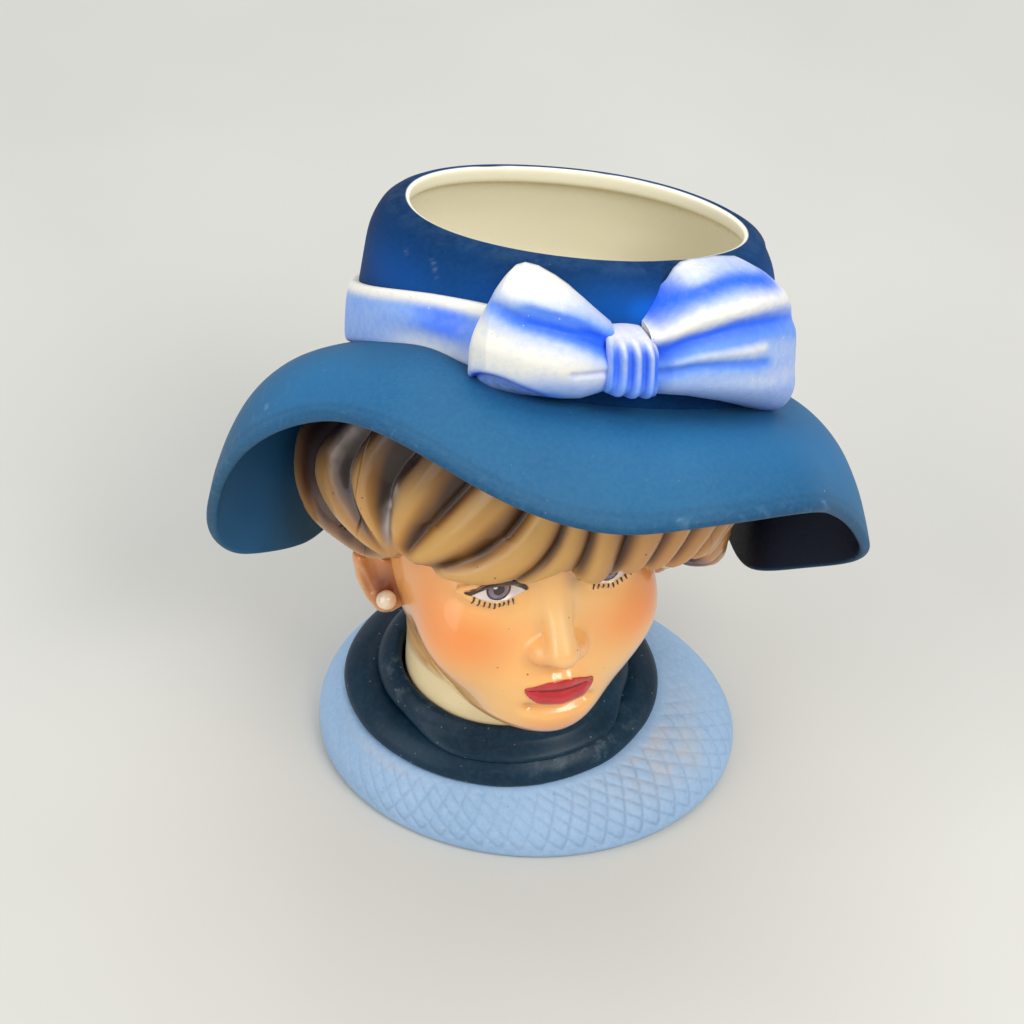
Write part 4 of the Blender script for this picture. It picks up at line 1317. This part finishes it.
def film(name, x0, x1, h0, h1, step, mask_of, material, thick=0.05, attrs_of=None):
    """A thin closed coat of paint where mask_of(x, h) > 0."""
    xs, hs = np.arange(x0, x1 + step, step), np.arange(h0, h1 + step, step)
    X, H = np.meshgrid(xs, hs, indexing="ij")
    keep = mask_of(X, H) > 0
    need = keep.copy()
    need[1:] |= keep[:-1]
    need[:, 1:] |= keep[:, :-1]
    need[1:, 1:] |= keep[:-1, :-1]
    ids = np.full(X.shape, -1)
    pick = np.argwhere(need)
    ids[need] = np.arange(need.sum())
    pts, _ = project(X[need], H[need])
    e = 0.05
    fv = head_field(pts)
    g = np.stack([head_field(pts + np.eye(3)[k] * e) - fv for k in range(3)], -1)
    g /= np.maximum(np.linalg.norm(g, axis=-1, keepdims=True), 1e-6)
    cell = np.argwhere(keep[:-1, :-1])
    i, j = cell[:, 0], cell[:, 1]
    quad = np.stack([ids[i, j], ids[i + 1, j], ids[i + 1, j + 1], ids[i, j + 1]], -1)
    quad = quad[(quad >= 0).all(1)]
    facing = -(g @ FACE[:, 1])
    quad = quad[(facing[quad] > 0.25).all(1)]
    used = np.unique(quad)
    remap = np.full(len(pts), -1)
    remap[used] = np.arange(len(used))
    quad, pts, g = remap[quad], pts[used], g[used]
    m = len(pts)
    top, bottom = pts + g * thick, pts - g * 0.12
    edges = np.concatenate([quad[:, [k, (k + 1) % 4]] for k in range(4)])
    key = np.sort(edges, 1)
    _, inv, cnt = np.unique(key, axis=0, return_inverse=True, return_counts=True)
    rim = edges[cnt[inv.ravel()] == 1]
    side = np.stack([rim[:, 0], rim[:, 0] + m, rim[:, 1] + m, rim[:, 1]], -1)
    faces = np.concatenate([quad, quad[:, ::-1] + m, side])
    # outward is away from the face
    a, b, c = top[quad[:, 0]], top[quad[:, 1]], top[quad[:, 2]]
    if (np.cross(b - a, c - a) * g[quad[:, 0]]).sum() < 0:
        faces = faces[:, ::-1]
    at = {}
    if attrs_of:
        qx = to_face(pts)
        at = {k: np.concatenate([val, val]) for k, val in attrs_of(qx[:, 0], qx[:, 2]).items()}
    return make(name, np.concatenate([top, bottom]), faces, material, at)


def eye_curves(ax):
    """Upper and lower edge of the eye opening at distance ax from the middle."""
    s = np.clip((ax - 6.0) / 11.4, 0, 1)
    bow = np.sin(np.pi * s)
    upper = EYE_H - 0.6 + 3.1 * bow ** 0.75 - 0.5 * s
    lower = EYE_H - 0.8 - 1.9 * bow ** 0.8 + 0.3 * s
    return upper, lower, s


def near_line(x, h, pts, width):
    """Width minus distance to a polyline; width may taper along it."""
    pts = np.asarray(pts, float)
    wd = np.asarray(width, float)
    best = np.full(x.shape, -9.0)
    p = np.stack([x, h], -1)
    for a, b, wa, wb in zip(pts[:-1], pts[1:], wd[:-1], wd[1:]):
        ab = b - a
        t = np.clip(((p - a) @ ab) / (ab @ ab), 0, 1)
        d = np.linalg.norm(p - a - t[..., None] * ab, axis=-1)
        best = np.maximum(best, wa + (wb - wa) * t - d)
    return best


def build_face_paint():
    white = plain_paint("eye_white_paint", srgb(226, 206, 198), srgb(238, 224, 216), 300.0)
    iris = plain_paint("iris_paint", srgb(108, 92, 104), srgb(142, 128, 140), 700.0)
    dark = plain_paint("lash_paint", srgb(38, 18, 12), srgb(58, 30, 20), 500.0)
    brow = plain_paint("brow_paint", srgb(116, 66, 34), srgb(146, 90, 50), 400.0)
    red = plain_paint("lip_paint", srgb(176, 18, 24), srgb(202, 28, 34), 260.0, rough=0.3, coat=0.85, coat_rough=0.05)
    glint = plain_paint("glint_paint", srgb(240, 238, 234), srgb(250, 248, 244), 300.0)
    for side, tag in ((-1, "left"), (1, "right")):
        def opening(x, h):
            up, lo, s = eye_curves(x * side)
            ok = (x * side > 6.1) & (x * side < 17.3)
            return np.where(ok, np.minimum(up - h, h - lo), -1)
        x0, x1 = sorted((5.5 * side, 20.5 * side))
        film("eye_white_" + tag, x0, x1, EYE_H - 4, EYE_H + 4, 0.16, opening, white, 0.2)
        cx, ch = 11.6 * side, EYE_H + 0.35
        film("iris_" + tag, cx - 3, cx + 3, ch - 3, ch + 3, 0.11, lambda x, h: np.minimum(2.55 - np.hypot(x - cx, h - ch), opening(x, h)), iris, 0.24)
        film("iris_ring_" + tag, cx - 3, cx + 3, ch - 3, ch + 3, 0.09, lambda x, h: np.minimum(0.2 - np.abs(np.hypot(x - cx, h - ch) - 2.4), opening(x, h)), dark, 0.26)
        film("pupil_" + tag, cx - 2, cx + 2, ch - 2, ch + 2, 0.09, lambda x, h: np.minimum(1.2 - np.hypot(x - cx, h - ch), opening(x, h)), dark, 0.27)
        film("glint_" + tag, cx - 2, cx + 2, ch - 2, ch + 2, 0.07, lambda x, h: 0.42 - np.hypot(x - cx + 0.7, h - ch - 0.8), glint, 0.31)
        ax = np.linspace(5.8, 17.3, 26)
        up, lo, s = eye_curves(ax)
        lash = np.stack([ax * side, up + 0.25], -1)
        lash = np.vstack([lash, [(17.9 * side, EYE_H - 0.6), (18.4 * side, EYE_H - 0.3)]])
        wd = np.concatenate([0.2 + 0.75 * np.sin(np.pi * np.clip(s * 0.9 + 0.05, 0, 1)) ** 0.8, [0.3, 0.08]])
        film("upper_lash_" + tag, min(lash[:, 0]) - 1, max(lash[:, 0]) + 1, EYE_H - 4, EYE_H + 6, 0.14, lambda x, h: near_line(x, h, lash, wd), dark, 0.36)
        crease = np.stack([ax[3:] * side, up[3:] + 2.1 - 0.5 * s[3:]], -1)
        film("lid_line_" + tag, min(crease[:, 0]) - 1, max(crease[:, 0]) + 1, EYE_H - 2, EYE_H + 8, 0.13, lambda x, h: near_line(x, h, crease, 0.12 + 0.16 * np.sin(np.pi * s[3:])), brow, 0.3)

        def lower(x, h):
            m = np.full(x.shape, -9.0)
            for k, a in enumerate(np.linspace(8.8, 16.6, 9)):
                _, l, _ = eye_curves(np.array(a))
                lean = (a - 12.5) * 0.12
                m = np.maximum(m, near_line(x, h, [(a * side, float(l) - 0.35), ((a + lean + 0.2) * side, float(l) - 1.7)], [0.17, 0.05]))
            return m
        film("lower_lash_" + tag, x0, x1, EYE_H - 6, EYE_H + 2, 0.09, lower, dark, 0.24)
        arch = np.array([(6.2, 47.0), (9.2, 48.8), (12.2, 49.7), (15.2, 49.5), (17.8, 48.4)]) * (side, 1.0)
        film("brow_" + tag, min(arch[:, 0]) - 1, max(arch[:, 0]) + 1, 44, 52, 0.16, lambda x, h: near_line(x, h, curve_through(arch, 20), np.interp(np.linspace(0, 1, 20), [0, 0.3, 1], [0.55, 0.75, 0.12])), brow, 0.25)

    def lips(x, h):
        ax = np.abs(x)
        s = np.clip(ax / 7.5, 0, 1)
        top = 16.1 + 3.3 * (1 - s) ** 0.55 * (1 - 0.22 * np.exp(-(ax / 1.5) ** 2)) * (0.55 + 0.45 * smooth(9, 2, ax))
        low = 15.9 - 4.1 * np.sqrt(np.clip(1 - s ** 2, 0, 1)) ** 1.15
        return np.where(ax < 7.4, np.minimum(top - h, h - low), -1)
    film("lip_paint", -9, 9, 10, 21, 0.16, lips, red, 0.32)
    film("mouth_line", -9, 9, 13, 19, 0.12, lambda x, h: near_line(x, h, [(-7.1, 16.0), (-4, 15.9), (0, 15.95), (4, 15.9), (7.1, 16.0)], [0.05, 0.2, 0.24, 0.2, 0.05]), plain_paint("mouth_line_paint", srgb(96, 10, 14), srgb(120, 16, 20), 300.0), 0.37)


# ------------------------------------------------------------------ ears and pearls
def build_ear(name, node, side):
    drop = np.array([0.0, 0.0, 2.4 if side > 0 else 0.0])

    def field(p):
        q = to_face(p) + drop
        q[..., 0] = q[..., 0] * side
        f = chain(q, [(30.2, 28.9, 24.2), (30.3, 29.3, 25.8), (31.0, 30.4, 28.6), (32.0, 31.4, 32.0), (32.4, 32.0, 35.0)], (1.7, 3.0, 3.9, 4.3, 4.4))
        f = smin(f, chain(q, [(28.2, 29.4, 26.0), (28.2, 31.0, 35.0)], (2.6, 3.4)), 2.0)
        f = smin(f, chain(q, [(31.6, 28.6, 24.6), (33.0, 29.6, 26.8), (34.3, 31.2, 30.6), (34.0, 32.4, 34.6)], (1.5, 1.7, 1.7, 1.5)), 2.2)
        f = smax(f, -chain(q, [(31.6, 25.6, 29.6), (33.0, 26.6, 32.4), (33.6, 27.4, 36.0)], (1.5, 2.2, 2.4)), 1.4)
        f = smax(f, -chain(q, [(34.2, 27.6, 29.0), (36.0, 29.2, 33.5)], (0.5, 0.7)), 0.8)
        return smax(f, to_head(p)[..., 2] - 32.6, 0.6)
    c = from_face([31.5 * side, 30.0, 28.5 - drop[2]])
    v, f = surface_nets(field, c - 15, c + 15, 0.4, reach=2.8)
    v, _ = settle(field, v)
    q = to_face(v) + drop
    q[:, 0] *= side
    tan = 0.95 * spot(q, (32.0, 26.6, 31.0), (3.2, 3.4, 5.0)) + 0.6 * spot(q, (30.0, 26.8, 28.4), (2.2, 2.8, 3.4)) + 0.35 * spot(q, (35.2, 28.6, 31.5), (0.9, 2.4, 4))
    pale = 0.5 * spot(q, (36.6, 30.2, 30.5), (1.5, 3, 5))
    return make(name, v, f, MAT_EAR, {"tan": np.clip(tan, 0, 1), "pale": np.clip(pale, 0, 1)}, node=node)


def build_pearl(name, node, side):
    axis = FACE[:, 0] * (0.45 * side) - FACE[:, 1] * 0.9
    axis /= np.linalg.norm(axis)
    c = from_face([31.4 * side, 25.0, 27.9 - (2.4 if side > 0 else 0.0)])
    x = np.cross(axis, (0, 0, 1))
    x /= np.linalg.norm(x)
    y = np.cross(axis, x)
    prof = []
    for al in np.linspace(0, math.pi, 40):
        r, h = 2.2 * math.sin(al), -2.2 * math.cos(al)
        if al > math.pi - 0.16:
            h -= 0.12 * (1 - (math.pi - al) / 0.16)
        prof.append((max(r, 0.02), h))
    prof = np.array(prof)
    nu = 64
    P, R = np.meshgrid(np.linspace(0, TAU, nu, endpoint=False), np.arange(len(prof)), indexing="ij")
    r = prof[R, 0] * (1 + 0.012 * np.sin(3 * P + 1))
    pts = c + (r * np.cos(P))[..., None] * x + (r * np.sin(P))[..., None] * y + prof[R, 1][..., None] * axis
    verts = np.vstack([pts.reshape(-1, 3), pts[:, 0].mean(0), pts[:, -1].mean(0)])
    nv, k = len(prof), np.arange(0, nu, 2)
    faces = [grid_faces(nu, nv, True, False)]
    for row, mid, order in ((0, nu * nv, 1), (nv - 1, nu * nv + 1, -1)):
        fan = np.stack([k * nv + row, (k + 1) % nu * nv + row, (k + 2) % nu * nv + row, np.full(len(k), mid)], -1)
        faces.append(fan[:, ::-order])
    return make(name, verts, np.concatenate(faces), MAT_PEARL, node=node)


# ------------------------------------------------------------------ put it together
build_crown()
build_brim()
build_band()
build_base()
build_roll("collar_lower_visual", "collar_lower_roll", LOWER_ROLL, 41, 40)
build_roll("collar_upper_visual", "collar_upper_roll", UPPER_ROLL, 57, -60, 4.0)
build_bow()
build_hair("hair_fringe_visual", "hair_fringe", -52.0, 52.0)
build_hair("hair_left_visual", "hair_left", -118.0, -52.0)
build_hair("hair_right_visual", "hair_right", 52.0, 118.0)
build_hair("hair_back_visual", "hair_back", 118.0, 242.0)
build_head()
build_face_paint()
build_ear("left_ear_visual", "left_ear", -1)
build_ear("right_ear_visual", "right_ear", 1)
build_pearl("left_pearl_visual", "left_pearl", -1)
build_pearl("right_pearl_visual", "right_pearl", 1)

# nodes that keep their CAD shape get a finished material
KEPT = {"left_earring_pin": MAT_BRASS, "right_earring_pin": MAT_BRASS}
for node_name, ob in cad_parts.items():
    if not ob.hide_render:
        mat = KEPT.get(node_name, MAT_SKIN)
        ob.data.materials.clear()
        ob.data.materials.append(mat)


# ------------------------------------------------------------------ floor, light, camera
def build_floor():
    me = bpy.data.meshes.new("floor")
    r = 4.0
    me.from_pydata([(-r, -r, 0), (r, -r, 0), (r, r, 0), (-r, r, 0)], [], [(0, 1, 2, 3)])
    ob = bpy.data.objects.new("floor", me)
    bpy.context.scene.collection.objects.link(ob)
    me.materials.append(floor_material())


def area_light(name, place, aim, size, power, tint=(1, 1, 1)):
    la = bpy.data.lights.new(name, "AREA")
    la.shape = "RECTANGLE"
    la.size, la.size_y = size
    la.energy = power
    la.color = tint
    ob = bpy.data.objects.new(name, la)
    bpy.context.scene.collection.objects.link(ob)
    d = np.array(aim, float) - np.array(place, float)
    d /= np.linalg.norm(d)
    z = -d
    x = np.cross((0, 0, 1), z)
    x /= np.linalg.norm(x)
    y = np.cross(z, x)
    set_matrix(ob, (x, y, z), place)
    return ob


def set_matrix(ob, cols, place):
    m = Matrix.Identity(4)
    for i in range(3):
        for j in range(3):
            m[j][i] = float(cols[i][j])
        m[i][3] = float(place[i])
    ob.matrix_world = m


build_floor()
area_light("key", (0.50, -0.45, 0.85), (0.0, 0.0, 0.07), (0.45, 0.45), 5.4, (1.0, 0.985, 0.96))
area_light("fill", (-0.8, -0.5, 0.7), (0.0, 0.0, 0.07), (0.8, 0.8), 4.0, (0.97, 0.985, 1.0))
area_light("low", (-0.7, -0.6, 0.24), (0.0, 0.0, 0.07), (0.5, 0.4), 0.8, (1.0, 0.98, 0.95))
area_light("top", (0.05, 0.35, 1.0), (0.0, 0.0, 0.08), (0.9, 0.9), 4.4)

world = bpy.data.worlds.new("studio")
world.use_nodes = True
world.node_tree.nodes["Background"].inputs["Color"].default_value = (0.93, 0.95, 1.0, 1.0)
world.node_tree.nodes["Background"].inputs["Strength"].default_value = 0.5
bpy.context.scene.world = world
bpy.context.scene.view_settings.view_transform = "Standard"

cam_data = bpy.data.cameras.new("camera")
cam_data.sensor_fit = "HORIZONTAL"
cam_data.sensor_width = 36.0
cam_data.lens = 79.95
cam_data.clip_start, cam_data.clip_end = 0.01, 20.0
cam = bpy.data.objects.new("camera", cam_data)
bpy.context.scene.collection.objects.link(cam)
az, el, roll = math.radians(4.0), math.radians(45.0), math.radians(1.7)
back = np.array([math.sin(az) * math.cos(el), -math.cos(az) * math.cos(el), math.sin(el)])
right = np.cross(-back, (0, 0, 1))
right /= np.linalg.norm(right)
up = np.cross(right, -back)
right2 = math.cos(roll) * right + math.sin(roll) * up
up2 = -math.sin(roll) * right + math.cos(roll) * up
set_matrix(cam, (right2, up2, back), np.array([19.82, -353.84, 426.28]) * MM)
bpy.context.scene.camera = cam
